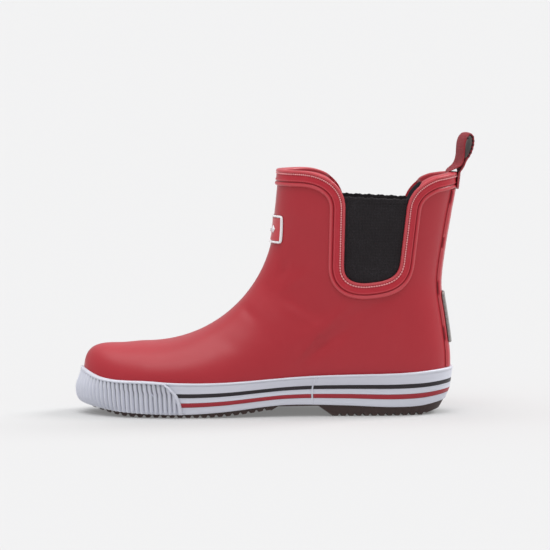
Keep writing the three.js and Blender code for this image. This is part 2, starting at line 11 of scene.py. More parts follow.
import bpy
import numpy as np
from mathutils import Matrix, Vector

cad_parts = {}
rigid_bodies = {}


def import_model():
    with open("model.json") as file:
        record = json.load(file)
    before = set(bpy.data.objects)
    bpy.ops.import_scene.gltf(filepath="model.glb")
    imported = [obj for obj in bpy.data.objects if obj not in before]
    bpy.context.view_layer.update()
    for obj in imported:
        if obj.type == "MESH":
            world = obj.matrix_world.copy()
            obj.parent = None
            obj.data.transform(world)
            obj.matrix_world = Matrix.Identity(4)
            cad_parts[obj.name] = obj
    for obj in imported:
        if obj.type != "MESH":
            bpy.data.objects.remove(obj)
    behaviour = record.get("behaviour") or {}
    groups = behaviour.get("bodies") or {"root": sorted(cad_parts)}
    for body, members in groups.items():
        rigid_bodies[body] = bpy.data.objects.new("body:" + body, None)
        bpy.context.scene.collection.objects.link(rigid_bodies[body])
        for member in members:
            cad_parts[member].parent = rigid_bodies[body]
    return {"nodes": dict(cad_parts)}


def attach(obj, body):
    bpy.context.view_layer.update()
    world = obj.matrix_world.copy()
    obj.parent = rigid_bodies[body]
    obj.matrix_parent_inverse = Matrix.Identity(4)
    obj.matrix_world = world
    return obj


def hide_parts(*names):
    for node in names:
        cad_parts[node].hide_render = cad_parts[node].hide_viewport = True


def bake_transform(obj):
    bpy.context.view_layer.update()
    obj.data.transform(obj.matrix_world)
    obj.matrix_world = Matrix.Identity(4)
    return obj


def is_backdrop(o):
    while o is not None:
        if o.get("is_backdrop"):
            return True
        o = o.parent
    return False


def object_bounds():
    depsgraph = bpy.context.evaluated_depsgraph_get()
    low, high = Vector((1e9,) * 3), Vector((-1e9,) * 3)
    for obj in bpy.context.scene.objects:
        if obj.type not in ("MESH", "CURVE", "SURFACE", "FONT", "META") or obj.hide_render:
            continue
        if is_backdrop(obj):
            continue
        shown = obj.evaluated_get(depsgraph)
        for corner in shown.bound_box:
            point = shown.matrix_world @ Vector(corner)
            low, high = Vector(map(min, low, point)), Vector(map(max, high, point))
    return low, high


for leftover in list(bpy.data.objects):
    bpy.data.objects.remove(leftover)
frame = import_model()


def box_as_lists():
    """The whole object's lowest and highest corners as plain numbers."""
    bpy.context.view_layer.update()
    return [[float(v) for v in corner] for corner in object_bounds()]


cad_box = box_as_lists()
MM = 0.001
print("frame loaded:", len(frame["nodes"]), "nodes, box", cad_box)

# %% [markdown]
# ## Camera and light
# The camera stands far back with a long lens, so that the side view is almost flat, and a little above the
# boot, so that it looks down by about four degrees. Two broad suns, a sky that grows brighter upwards and a
# wide soft box overhead light it, which leaves the walls of the boot darker than its toe and instep.

# %% Camera
CAMERA_BACK = 2.3
CAMERA_HEIGHT = 0.25
AIM_HEIGHT = 0.0822
VIEW_WIDTH = 0.3302
AIM_X = 0.0003
SENSOR_WIDTH = 36
FAR_CLIP = 1500

aim = np.array([AIM_X, 0.0, AIM_HEIGHT])
eye = np.array([AIM_X, -CAMERA_BACK, CAMERA_HEIGHT])
camera = bpy.data.objects.new("camera", bpy.data.cameras.new("camera"))
bpy.context.scene.collection.objects.link(camera)
camera.location = eye
tilt = math.atan2(CAMERA_HEIGHT - AIM_HEIGHT, CAMERA_BACK)
camera.rotation_euler = (math.pi / 2 - tilt, 0, 0)
camera.data.sensor_width = SENSOR_WIDTH
camera.data.lens = SENSOR_WIDTH * np.linalg.norm(aim - eye) / VIEW_WIDTH
camera.data.clip_end = FAR_CLIP
bpy.context.scene.camera = camera
print("camera tilt", round(math.degrees(tilt), 2), "lens", round(camera.data.lens, 1))


# %% Lights, sky and floor
def srgb(red, green, blue):
    """Linear colour of an sRGB triple from 0 to 255, with the power curve that displays use."""
    share = np.array([red, green, blue]) / 255
    linear = np.where(share <= 0.04045, share / 12.92, ((share + 0.055) / 1.055) ** 2.4)
    return (*[float(v) for v in linear], 1.0)


def soft_sun(name, strength, spread, towards):
    """A distant light of the given spread in degrees that shines along a direction."""
    light = bpy.data.lights.new(name, "SUN")
    light.energy = strength
    light.angle = math.radians(spread)
    lamp = bpy.data.objects.new(name, light)
    bpy.context.scene.collection.objects.link(lamp)
    x, y, z = np.array(towards) / np.linalg.norm(towards)
    lamp.rotation_euler = (math.acos(np.clip(-z, -1, 1)), 0, math.atan2(x, -y))


SKY_LOW, SKY_HIGH, SKY_TOP_AT = (0.43, 0.43, 0.44, 1), (0.80, 0.80, 0.81, 1), 0.8
SOFTBOX_WAY, SOFTBOX_EDGE, SOFTBOX_FULL, SOFTBOX_GAIN = (-0.17, 0.03, 0.985), 0.84, 0.97, 2.0
FLOOR_SIDE = 1600.0
FLOOR_GREY, FLOOR_GLOW = 0.455, 0.18

soft_sun("top_left", 1.6, 26, (0.85, 0.45, -0.9))
soft_sun("top_back", 0.5, 30, (-0.1, -0.5, -1.0))

world = bpy.data.worlds.new("studio")
bpy.context.scene.world = world
world.use_nodes = True
sky = world.node_tree.nodes
sky_links = world.node_tree.links
sky_place = sky.new("ShaderNodeTexCoord")
sky_split = sky.new("ShaderNodeSeparateXYZ")
sky_ramp = sky.new("ShaderNodeValToRGB")
sky_links.new(sky_place.outputs["Generated"], sky_split.inputs[0])
sky_links.new(sky_split.outputs["Z"], sky_ramp.inputs["Fac"])
sky_ramp.color_ramp.elements[0].position = 0.0
sky_ramp.color_ramp.elements[0].color = SKY_LOW
sky_ramp.color_ramp.elements[1].position = SKY_TOP_AT
sky_ramp.color_ramp.elements[1].color = SKY_HIGH
facing = sky.new("ShaderNodeVectorMath")
facing.operation = "DOT_PRODUCT"
facing.inputs[1].default_value = SOFTBOX_WAY
sky_links.new(sky_place.outputs["Generated"], facing.inputs[0])
softbox = sky.new("ShaderNodeMapRange")
softbox.interpolation_type = "SMOOTHSTEP"
for label, number in (("From Min", SOFTBOX_EDGE), ("From Max", SOFTBOX_FULL), ("To Max", SOFTBOX_GAIN)):
    softbox.inputs[label].default_value = number
sky_links.new(facing.outputs["Value"], softbox.inputs["Value"])
brighter = sky.new("ShaderNodeVectorMath")
sky_links.new(sky_ramp.outputs["Color"], brighter.inputs[0])
sky_links.new(softbox.outputs["Result"], brighter.inputs[1])
sky_links.new(brighter.outputs["Vector"], sky["Background"].inputs["Color"])
bpy.context.scene.view_settings.view_transform = "Standard"

floor_mesh = bpy.data.meshes.new("floor")
corner = FLOOR_SIDE / 2
floor_corners = [(-corner, -corner, 0), (corner, -corner, 0), (corner, corner, 0), (-corner, corner, 0)]
floor_mesh.from_pydata(floor_corners, [], [(0, 1, 2, 3)])
floor = bpy.data.objects.new("floor", floor_mesh)
bpy.context.scene.collection.objects.link(floor)
floor_finish = bpy.data.materials.new("floor")
floor_finish.use_nodes = True
floor_shader = floor_finish.node_tree.nodes["Principled BSDF"]
floor_shader.inputs["Base Color"].default_value = (FLOOR_GREY, FLOOR_GREY, FLOOR_GREY, 1)
floor_shader.inputs["Roughness"].default_value = 1.0
floor_shader.inputs["Specular IOR Level"].default_value = 0.0
floor_shader.inputs["Emission Color"].default_value = (1, 1, 1, 1)
floor_shader.inputs["Emission Strength"].default_value = FLOOR_GLOW
floor_mesh.materials.append(floor_finish)
floor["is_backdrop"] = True
print("two soft suns, a graded sky, a soft box and a pale floor")

# %% [markdown]
# ## The form of the boot
# A boot bends, so its slices bend too. Ahead of the instep they stand upright; round the bend they fan
# about one centre; up the shaft they lie level. A slice is a superellipse: two rounded halves that meet at
# the widest place. One number, the station, says which slice, and one angle says where on it.

# %% Sizes of the form, in millimetres
GAP = 0.3
TOE_X, TOE_TIP_Z, TOE_TOP_Z = -114.6, 20, 41.6
TOE_ROUND, TOE_SQUARE = 21.6, 3.5
BALL_X, BALL_HALF_WIDTH = -50, 40.5
BEND_X, BEND_Z, BEND_R = -76.6, 119.2, 76.5
SHAFT_RAKE = 0.1
COLLAR_Z, COLLAR_DROP = 146, 1.5
REAR_Z = COLLAR_Z - COLLAR_DROP
TOP_Z = COLLAR_Z + 6
SHAFT_START = BEND_R * math.pi / 2
LAST_STATION = SHAFT_START + TOP_Z - BEND_Z
TOE_STATION = TOE_X - BEND_X


def through(*points):
    """A smooth function through points: cubics whose slope at a point is the mean of the slopes beside it."""
    table = np.array(points, float)
    places, values = table[:, 0], table[:, 1:]
    widths = np.diff(places)
    slopes = np.diff(values, axis=0) / widths[:, None]
    tangents = np.vstack([slopes[:1], (slopes[1:] + slopes[:-1]) / 2, slopes[-1:]])

    def smooth(at):
        at = np.clip(np.asarray(at, float), places[0], places[-1])
        k = np.clip(np.searchsorted(places, at, side="right") - 1, 0, len(widths) - 1)
        h = widths[k][..., None]
        p = (at - places[k])[..., None] / h
        made = values[k] * (1 + 2 * p) * (1 - p) ** 2 + tangents[k] * h * p * (1 - p) ** 2
        made = made + values[k + 1] * p * p * (3 - 2 * p) + tangents[k + 1] * h * p * p * (p - 1)
        return made[..., 0] if values.shape[1] == 1 else np.moveaxis(made, -1, 0)

    return smooth


def ramp(at, low, high):
    """0 below low, 1 above high, and 3t^2 - 2t^3 between."""
    t = np.clip((np.asarray(at, float) - low) / (high - low), 0, 1)
    return t * t * (3 - 2 * t)


sole_z = through(
    (TOE_X, 9.4), (-93, 8.2), (-75, 6.8), (-50, 6.4), (-20, 7.6), (10, 9.6), (40, 10), (92, 9.6)
)
foxing_top = through(
    (TOE_X, 27.5), (-105, 23.8), (-97, 22.4), (-75, 21.9), (-60, 21), (-30, 21), (24.5, 24.6), (70, 26),
    (104, 27.9),
)
foxing_low = through(
    (TOE_X, 6.5), (-104, 4.4), (-90, 3.2), (-56, 2.2), (-33, 3.4), (-4, 6.4), (5, 7.1), (42, 6.6), (71, 5.4),
    (88, 5.8), (102, 8.2),
)
slice_shape = through(
    (TOE_STATION, BALL_HALF_WIDTH, 0.62, 2.2, 2.7, -3),
    (0, BALL_HALF_WIDTH, 0.66, 2.2, 3.2, 0),
    (17.6, BALL_HALF_WIDTH, 0.68, 2.2, 3.4, 1),
    (30, BALL_HALF_WIDTH - 0.6, 0.7, 2.15, 3.4, 2.4),
    (46, BALL_HALF_WIDTH - 4.5, 0.68, 2.2, 3.2, 3.4),
    (58, 32.8, 0.64, 2.3, 2.9, 2.6),
    (70, 31.6, 0.6, 2.4, 2.7, 0.8),
    (83, 31.3, 0.58, 2.4, 2.3, 0),
    (100, 31.9, 0.54, 2.3, 2.2, 0),
    (SHAFT_START, 34, 0.5, 2.3, 2.2, 0),
    (LAST_STATION, 35.4, 0.5, 2.3, 2.2, 0),
)


# %% Side view of the form
def tip_share(x):
    """The blunt tip's share of its full height: (1 - u^n)^(1/n), with u from 0 behind the tip to 1 at it."""
    u = np.clip((TOE_X + TOE_ROUND - x) / TOE_ROUND, 0, 1)
    return (1 - u**TOE_SQUARE) ** (1 / TOE_SQUARE)


def ridge_z(x):
    """Height of the foot's top line: flat over the toes, easing to the start of the instep's arc."""
    flat = TOE_TOP_Z + (BEND_Z - BEND_R - TOE_TOP_Z) * ramp(x, TOE_X + TOE_ROUND, BEND_X)
    return TOE_TIP_Z + (flat - TOE_TIP_Z) * tip_share(x)


def catmull_rom(points, steps=60):
    """Centripetal Catmull-Rom curve: knots apart by the root of the distance, ends carried straight on."""
    p = np.vstack([2 * points[0] - points[1], points, 2 * points[-1] - points[-2]])
    d = np.linalg.norm(np.diff(p, axis=0), axis=1)[:, None] ** 0.5
    a, b, c, e = p[:-3], p[1:-2], p[2:-1], p[3:]
    d0, d1, d2 = d[:-2], d[1:-1], d[2:]
    m1 = ((b - a) / d0 - (c - a) / (d0 + d1) + (c - b) / d1) * d1
    m2 = ((c - b) / d1 - (e - b) / (d1 + d2) + (e - c) / d2) * d1
    t = np.linspace(0, 1, steps, endpoint=False)[None, :, None]
    b, c, m1, m2 = b[:, None], c[:, None], m1[:, None], m2[:, None]
    made = b * (1 + 2 * t) * (1 - t) ** 2 + m1 * t * (1 - t) ** 2
    made = made + c * t * t * (3 - 2 * t) + m2 * t * t * (t - 1)
    return np.vstack([made.reshape(-1, points.shape[1]), points[-1:]])


def station(x, z):
    """Which slice a side-view point lies on: distance along the boot's front from the instep's start."""
    fan = BEND_R * np.arctan2(x - BEND_X, np.maximum(BEND_Z - z, 0))
    made = np.where(z < BEND_Z, fan, SHAFT_START + z - BEND_Z)
    return np.where(x <= BEND_X, x - BEND_X, made)


flat_part = [(x, float(sole_z(x))) for x in (BEND_X, -50, -20, 10, 40, 70, 90)]
heel_part = [
    (101.3, 13.5), (103.9, 22), (104.4, 33), (103.6, 43), (101.4, 59), (99.3, 73), (99.3, 83),
    (101.8, 101.6), (105, 120.8), (107.6, 135), (108.8, TOP_Z + 4),
]
heel_line = catmull_rom(np.array(flat_part + heel_part))
heel_stations = station(heel_line[:, 0], heel_line[:, 1])


def slice_frame(s):
    """Each slice's start, its direction through the boot, its length and its shape numbers."""
    s = np.asarray(s, float)
    turn = np.clip(s / BEND_R, 0, math.pi / 2)
    rise = np.maximum(s - SHAFT_START, 0)
    upright = s <= 0
    x = np.where(upright, BEND_X + s, BEND_X + BEND_R * np.sin(turn) + SHAFT_RAKE * rise)
    z = np.where(upright, ridge_z(BEND_X + s), BEND_Z - BEND_R * np.cos(turn) + rise)
    dx, dz = np.where(upright, 0, np.sin(turn)), np.where(upright, -1, -np.cos(turn))
    end_x = np.interp(s, heel_stations, heel_line[:, 0])
    end_z = np.interp(s, heel_stations, heel_line[:, 1])
    low = TOE_TIP_Z + (sole_z(x) - TOE_TIP_Z) * tip_share(x)
    length = np.where(upright, z - low, np.hypot(end_x - x, end_z - z))
    full, mid, front, back, shift = slice_shape(s)
    ahead = np.clip((BALL_X - BEND_X - s) / (BALL_X - TOE_X), 0, 1)
    half = full * np.sqrt(1 - ahead * ahead)
    return x, z, dx, dz, np.maximum(length, 1e-4), np.maximum(half, 1e-4), mid, front, back, shift


def form_point(s, angle):
    """A point of the slice in polar form: r = (|cos/a|^n + |sin/w|^n)^(-1/n) about the widest place."""
    x, z, dx, dz, length, half, mid, front, back, shift = slice_frame(s)
    c, w = np.cos(angle), np.sin(angle)
    reach = np.where(c > 0, length * mid, length * (1 - mid))
    n = np.where(c > 0, front, back)
    r = ((np.abs(c) / reach) ** n + (np.abs(w) / half) ** n) ** (-1 / n)
    along = length * mid - r * c
    return np.stack([x + dx * along, r * w + shift * along / length, z + dz * along], axis=-1)


def form(s, angle, out=0.0):
    """The form moved out along its normal, which is the cross product of its two directions."""
    s, angle = np.broadcast_arrays(np.asarray(s, float), np.asarray(angle, float))
    e, turn = 0.02, 1e-3
    ahead, behind = np.clip(s + e, None, LAST_STATION), np.clip(s - e, TOE_STATION, None)
    along = form_point(ahead, angle) - form_point(behind, angle)
    across = form_point(s, angle + turn) - form_point(s, angle - turn)
    normal = np.cross(along, across)
    size = np.linalg.norm(normal, axis=-1, keepdims=True)
    normal = np.where(size > 1e-12, normal / np.maximum(size, 1e-12), np.array([-1.0, 0, 0]))
    return form_point(s, angle) + normal * np.asarray(out, float)[..., None]


def place_on_form(points):
    """Station and angle of any point near the form, the reverse of form_point."""
    s = station(points[..., 0], points[..., 2])
    x, z, dx, dz, length, half, mid, front, back, shift = slice_frame(s)
    along = (points[..., 0] - x) * dx + (points[..., 2] - z) * dz
    return s, np.arctan2(points[..., 1] - shift * along / length, length * mid - along)


def lay(points, out=0.0):
    """Points carried onto the form and then out by a height."""
    s, angle = place_on_form(points)
    return form(s, angle, out)


def rolled(distance, radius):
    """0 at an edge and 1 beyond a radius from it, along a quarter of a circle."""
    return np.sqrt(np.clip(1 - (1 - np.clip(distance / radius, 0, 1)) ** 2, 0, 1))


front_ridge = form(np.array([-38.0, 0.0, 60.0, 120.0]), 0.0)
print("front ridge at four stations", front_ridge.round(1).tolist())

# %% [markdown]
# ## From a grid of points to a mesh
# Every layer of the boot is a sheet with a thickness, so it is made as two grids of points, an outer one
# and an inner one, sewn together round their rims. Strips are closed profiles carried along a path, which
# is one grid that closes on itself. Both are whole arrays of points, and their faces are index arithmetic.


# %% Mesh helpers
def quads(rows, columns, wrap_rows=False, wrap_columns=False):
    """Corner numbers of the cells of a grid stored row by row; a wrapped direction joins end to start."""
    r = np.arange(rows if wrap_rows else rows - 1)[:, None]
    c = np.arange(columns if wrap_columns else columns - 1)[None, :]
    nr, nc = (r + 1) % rows, (c + 1) % columns
    return np.stack(
        [r * columns + c, r * columns + nc, nr * columns + nc, nr * columns + c], axis=-1
    ).reshape(-1, 4)


def volume_of(points, faces):
    """Signed volume: a third of the sum of corner times area over the faces cut into triangles."""
    triangles = np.vstack([faces[:, [0, 1, 2]], faces[:, [0, 2, 3]]])
    a, b, c = points[triangles[:, 0]], points[triangles[:, 1]], points[triangles[:, 2]]
    return float(np.einsum("ij,ij->", a, np.cross(b, c))) / 6


def set_uv(mesh, uv):
    """A UV map from one pair of numbers for every point of the mesh."""
    layer = mesh.uv_layers.new(name="UVMap")
    corners = np.zeros(len(mesh.loops), dtype=np.int32)
    mesh.loops.foreach_get("vertex_index", corners)
    layer.data.foreach_set("uv", uv[corners].astype(np.float32).ravel())


def make_piece(name, points, faces, finish, body="boot", smooth=35, uv=None, nodes=(), slot=None):
    """A mesh object from points in millimetres, facing out, smooth but for edges sharper than an angle."""
    if volume_of(points, faces) < 0:
        faces = faces[:, ::-1]
    mesh = bpy.data.meshes.new(name)
    mesh.from_pydata((points * MM).tolist(), [], faces.tolist())
    if uv is not None:
        set_uv(mesh, uv)
    mesh.validate()
    piece = bpy.data.objects.new(name, mesh)
    bpy.context.scene.collection.objects.link(piece)
    mesh.materials.append(finish)
    mesh.shade_smooth()
    if smooth:
        mesh.set_sharp_from_angle(angle=math.radians(smooth))
    if body:
        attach(piece, body)
    if nodes:
        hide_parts(*nodes)
    print(f"{name}: {len(faces)} faces")
    return piece


def make_plate(name, outer, inner, finish, **words):
    """Two grids of the same shape sewn round their rims into one closed plate."""
    rows, columns = outer.shape[:2]
    n = rows * columns
    number = np.arange(n).reshape(rows, columns)
    rim = np.concatenate([number[0, :-1], number[:-1, -1], number[-1, :0:-1], number[:0:-1, 0]])
    after = np.roll(rim, -1)
    face = quads(rows, columns)
    side = np.stack([after, rim, rim + n, after + n], axis=-1)
    faces = np.vstack([face, face[:, ::-1] + n, side])
    points = np.vstack([outer.reshape(-1, 3), inner.reshape(-1, 3)])
    return make_piece(name, points, faces, finish, **words)


def make_ring(name, rings, finish, **words):
    """Closed profiles on a closed path: one grid that wraps both ways."""
    faces = quads(rings.shape[0], rings.shape[1], True, True)
    return make_piece(name, rings.reshape(-1, 3), faces, finish, **words)


def make_bar(name, rings, finish, **words):
    """Closed profiles on an open path, with a flat cap of cells across each end."""
    rows, columns = rings.shape[:2]
    half = columns // 2
    near = np.arange(half - 1)
    cap = np.stack([near, near + 1, columns - 2 - near, columns - 1 - near], axis=-1)
    last = (rows - 1) * columns
    faces = np.vstack([quads(rows, columns, False, True), cap[:, ::-1], cap + last])
    return make_piece(name, rings.reshape(-1, 3), faces, finish, **words)


def along_path(points, closed):
    """Running length of a polyline and its total."""
    source = np.vstack([points, points[:1]]) if closed else points
    steps = np.linalg.norm(np.diff(source, axis=0), axis=1)
    run = np.concatenate([[0], np.cumsum(steps)])
    return run, run[-1]


def evenly(points, count, closed=False):
    """The same path with points an equal distance apart."""
    run, total = along_path(points, closed)
    source = np.vstack([points, points[:1]]) if closed else points
    at = np.linspace(0, total, count, endpoint=not closed)
    return np.stack([np.interp(at, run, source[:, k]) for k in range(points.shape[1])], axis=-1)


print("mesh helpers ready")

# %% [markdown]
# ## Finishes
# Vulcanised rubber is matt with a soft broad sheen. Its colour drifts a little in large soft patches, its
# surface has a very fine grain, and it has pale dusty patches. Its sharp edges and ridges are painted paler
# as a painted highlight, and its hollows are painted darker as painted shade. These effects serve several
# rubbers, so they are one node group. The group puts out a colour, a roughness and a normal, and each
# material keeps its own Principled shader.


# %% Node group helpers
def new_group(name, inputs, outputs):
    """An empty shader node group with named sockets, each given as (name, kind, default)."""
    group = bpy.data.node_groups.new(name, "ShaderNodeTree")
    for label, kind, default in inputs:
        socket = group.interface.new_socket(label, in_out="INPUT", socket_type="NodeSocket" + kind)
        if default is not None:
            socket.default_value = default
    for label, kind in outputs:
        group.interface.new_socket(label, in_out="OUTPUT", socket_type="NodeSocket" + kind)
    return group


class Wires:
    """Short words for adding and joining nodes in one node tree."""

    def __init__(self, tree):
        self.tree = tree

    def add(self, kind, **values):
        node = self.tree.nodes.new("ShaderNode" + kind)
        for word, value in values.items():
            setattr(node, word, value)
        return node

    def join(self, start, end):
        self.tree.links.new(start, end)

    def maths(self, operation, first, second=0.0, third=None):
        """One Math node; a number or a socket may stand for each input."""
        node = self.add("Math", operation=operation)
        for place, value in enumerate([first, second] + ([] if third is None else [third])):
            if isinstance(value, (int, float)):
                node.inputs[place].default_value = value
            else:
                self.join(value, node.inputs[place])
        return node.outputs[0]

    def mix(self, share, first, second, blend="MIX"):
        """One colour Mix node; its colour sockets are the seventh and eighth inputs."""
        node = self.add("Mix", data_type="RGBA", blend_type=blend)
        for place, value in ((0, share), (6, first), (7, second)):
            if isinstance(value, (int, float, tuple)):
                node.inputs[place].default_value = value
            else:
                self.join(value, node.inputs[place])
        return node.outputs[2]

    def noise(self, where, scale, detail=2.0, rough=0.5):
        node = self.add("TexNoise")
        self.join(where, node.inputs["Vector"])
        node.inputs["Scale"].default_value = scale
        node.inputs["Detail"].default_value = detail
        node.inputs["Roughness"].default_value = rough
        return node.outputs["Fac"]

    def remap(self, value, low, high, to_low=0.0, to_high=1.0):
        node = self.add("MapRange", interpolation_type="SMOOTHSTEP")
        self.join(value, node.inputs["Value"])
        ends = {"From Min": low, "From Max": high, "To Min": to_low, "To Max": to_high}
        for label, number in ends.items():
            node.inputs[label].default_value = number
        return node.outputs["Result"]


def new_finish(name):
    """A new material, its node tree and its Principled shader."""
    material = bpy.data.materials.new(name)
    material.use_nodes = True
    return material, material.node_tree, material.node_tree.nodes["Principled BSDF"]


def group_finish(name, group, values, specular):
    """A material with its own Principled shader, whose colour, roughness and normal come from a group."""
    material, tree, shader = new_finish(name)
    surface = tree.nodes.new("ShaderNodeGroup")
    surface.node_tree = group
    for label, value in values.items():
        surface.inputs[label].default_value = value
    for source, target in (("Colour", "Base Color"), ("Roughness", "Roughness"), ("Normal", "Normal")):
        tree.links.new(surface.outputs[source], shader.inputs[target])
    shader.inputs["Specular IOR Level"].default_value = specular
    return material, shader


# %% The rubber group
rubber_group = new_group(
    "rubber_surface",
    [
        ("Colour", "Color", (0.5, 0.5, 0.5, 1)),
        ("Dust And Highlight Colour", "Color", (0.7, 0.7, 0.7, 1)),
        ("Dust And Highlight", "Float", 0.1),
        ("Drift", "Float", 0.1),
        ("Hollow Shade", "Float", 0.5),
        ("Roughness", "Float", 0.4),
        ("Grain Size", "Float", 1500.0),
        ("Grain", "Float", 0.1),
    ],
    [("Colour", "Color"), ("Roughness", "Float"), ("Normal", "Vector")],
)
w = Wires(rubber_group)
takes = rubber_group.nodes.new("NodeGroupInput")
gives = rubber_group.nodes.new("NodeGroupOutput")
place = w.add("TexCoord").outputs["Object"]
patch = w.noise(place, 22.0, 3.0)
speck = w.noise(place, 900.0, 3.0, 0.6)
rub = w.noise(place, 140.0, 4.0, 0.65)
lift = w.maths("MULTIPLY", w.maths("SUBTRACT", patch, 0.5), takes.outputs["Drift"])
bright = w.maths("ADD", 1.0, lift)
tinted = w.add("VectorMath", operation="SCALE")
w.join(takes.outputs["Colour"], tinted.inputs[0])
w.join(bright, tinted.inputs["Scale"])
geometry = w.add("NewGeometry")
# Painted highlight: edges and ridges, where the surface is pointed, are painted towards the pale highlight
# colour.
painted_edge_highlight = w.remap(geometry.outputs["Pointiness"], 0.515, 0.56)
dust = w.maths("MULTIPLY", w.remap(rub, 0.45, 0.75), 0.1)
# The pale mix is partly real dust in soft patches and partly the painted edge highlight.
dust_and_highlight = w.maths("MULTIPLY", w.maths("MAXIMUM", painted_edge_highlight, dust), takes.outputs["Dust And Highlight"])
dust_and_highlight_mixed = w.mix(dust_and_highlight, tinted.outputs["Vector"], takes.outputs["Dust And Highlight Colour"])
# Painted shade: hollows, where the surface is cupped, are painted darker.
hollow = w.remap(geometry.outputs["Pointiness"], 0.49, 0.44)
dark = w.maths("SUBTRACT", 1.0, w.maths("MULTIPLY", hollow, takes.outputs["Hollow Shade"]))
hollow_shaded_colour = w.add("VectorMath", operation="SCALE")
w.join(dust_and_highlight_mixed, hollow_shaded_colour.inputs[0])
w.join(dark, hollow_shaded_colour.inputs["Scale"])
w.join(hollow_shaded_colour.outputs["Vector"], gives.inputs["Colour"])
rough_shift = w.maths("MULTIPLY", w.maths("SUBTRACT", rub, 0.5), 0.16)
w.join(w.maths("ADD", takes.outputs["Roughness"], rough_shift), gives.inputs["Roughness"])
grain = w.add("TexNoise")
w.join(place, grain.inputs["Vector"])
w.join(takes.outputs["Grain Size"], grain.inputs["Scale"])
grain.inputs["Detail"].default_value = 2.0
coarse, fine = w.maths("MULTIPLY", grain.outputs["Fac"], 0.4), w.maths("MULTIPLY", speck, 0.6)
grain_height = w.maths("ADD", coarse, fine)
bump = w.add("Bump")
bump.inputs["Distance"].default_value = 0.0002
w.join(takes.outputs["Grain"], bump.inputs["Strength"])
w.join(grain_height, bump.inputs["Height"])
w.join(bump.outputs["Normal"], gives.inputs["Normal"])
print("rubber group has", len(rubber_group.nodes), "nodes")


# %% Rubber finishes
# Each rubber's second colour is its dust colour and also the painted highlight on its edges. The number after it
# sets how much of that colour is used, and a further number sets how much painted shade darkens its hollows.
def rubber(name, colour, dust_and_highlight_colour, dust_and_highlight, drift=0.12, hollow_shade=0.35, roughness=0.45, grain=0.08):
    """One rubber: its own Principled shader, fed by the shared surface group."""
    values = {
        "Colour": colour, "Dust And Highlight Colour": dust_and_highlight_colour, "Dust And Highlight": dust_and_highlight, "Drift": drift, "Hollow Shade": hollow_shade,
        "Roughness": roughness, "Grain": grain,
    }
    return group_finish(name, rubber_group, values, specular=0.34)[0]


red_rubber = rubber("red_rubber", srgb(173, 42, 52), srgb(222, 128, 130), 0.08, roughness=0.38)
red_trim = rubber("red_trim", srgb(182, 38, 52), srgb(236, 134, 136), 0.38, hollow_shade=0.6, roughness=0.34)
badge_red = rubber("badge_red", srgb(196, 60, 68), srgb(230, 160, 160), 0.2, roughness=0.35)
white_rubber = rubber(
    "white_rubber", srgb(240, 240, 243), srgb(255, 255, 255), 0.2, drift=0.04, roughness=0.4
)
pale_rubber = rubber(
    "pale_rubber", srgb(212, 214, 225), srgb(246, 248, 253), 0.16, drift=0.05, hollow_shade=0.6, roughness=0.42
)
# The moulded stitch beads are the band's own red rubber, coloured light pink as a painted highlight.
stitch_highlight_red = rubber(
    "stitch_highlight_red", srgb(226, 128, 132), srgb(246, 200, 200), 0.3, hollow_shade=0.2, roughness=0.4
)
red_line = rubber("red_stripe", srgb(160, 38, 50), srgb(214, 120, 124), 0.1, roughness=0.4)
black_line = rubber("black_rubber", srgb(40, 34, 39), srgb(110, 104, 110), 0.08, roughness=0.42)
brown_rubber = rubber(
    "brown_rubber", srgb(62, 47, 45), srgb(120, 104, 96), 0.25, drift=0.25, roughness=0.6, grain=0.2
)
print("nine rubbers")

# %% [markdown]
# ## Cloth, tape and foam
# The elastic, the lining, the webbing and the binding are all woven or knitted, at different sizes. A plain
# weave is two sets of round threads that take turns to lie on top: the turn is the parity of the cell, and
# each thread's roundness is the absolute value of a sine. The weave follows each piece's own UV map, in
# centimetres.

# %% The weave group
weave_group = new_group(
    "weave_surface",
    [
        ("Thread", "Color", (0.1, 0.1, 0.1, 1)),
        ("Shade", "Color", (0.02, 0.02, 0.02, 1)),
        ("Fluff Colour", "Color", (0.2, 0.2, 0.2, 1)),
        ("Warp", "Float", 10.0),
        ("Weft", "Float", 10.0),
        ("Fluff", "Float", 0.2),
        ("Relief", "Float", 0.5),
    ],
    [("Colour", "Color"), ("Roughness", "Float"), ("Normal", "Vector")],
)
w = Wires(weave_group)
takes = weave_group.nodes.new("NodeGroupInput")
gives = weave_group.nodes.new("NodeGroupOutput")
where = w.add("SeparateXYZ")
w.join(w.add("TexCoord").outputs["UV"], where.inputs[0])
across = w.maths("MULTIPLY", where.outputs["X"], takes.outputs["Warp"])
along = w.maths("MULTIPLY", where.outputs["Y"], takes.outputs["Weft"])
warp_round = w.maths("ABSOLUTE", w.maths("SINE", w.maths("MULTIPLY", across, math.pi)))
weft_round = w.maths("ABSOLUTE", w.maths("SINE", w.maths("MULTIPLY", along, math.pi)))
cells = w.maths("ADD", w.maths("FLOOR", across), w.maths("FLOOR", along))
turn = w.maths("FLOORED_MODULO", cells, 2.0)
warp_high = w.maths("MULTIPLY", w.maths("MULTIPLY", warp_round, weft_round), turn)
weft_high = w.maths("MULTIPLY", w.maths("MULTIPLY", weft_round, 0.8), w.maths("SUBTRACT", 1.0, turn))
between = w.maths("MULTIPLY", warp_round, 0.55)
thread_high = w.maths("MAXIMUM", w.maths("MAXIMUM", warp_high, weft_high), between)
place = w.add("TexCoord").outputs["Object"]
fibre = w.noise(place, 1200.0, 3.0, 0.7)
patch = w.noise(place, 60.0, 2.0)
shaded = w.mix(thread_high, takes.outputs["Shade"], takes.outputs["Thread"])
fluffed = w.maths("MULTIPLY", w.remap(fibre, 0.45, 0.7), w.remap(patch, 0.3, 0.7))
fluff = w.maths("MULTIPLY", fluffed, takes.outputs["Fluff"])
w.join(w.mix(fluff, shaded, takes.outputs["Fluff Colour"]), gives.inputs["Colour"])
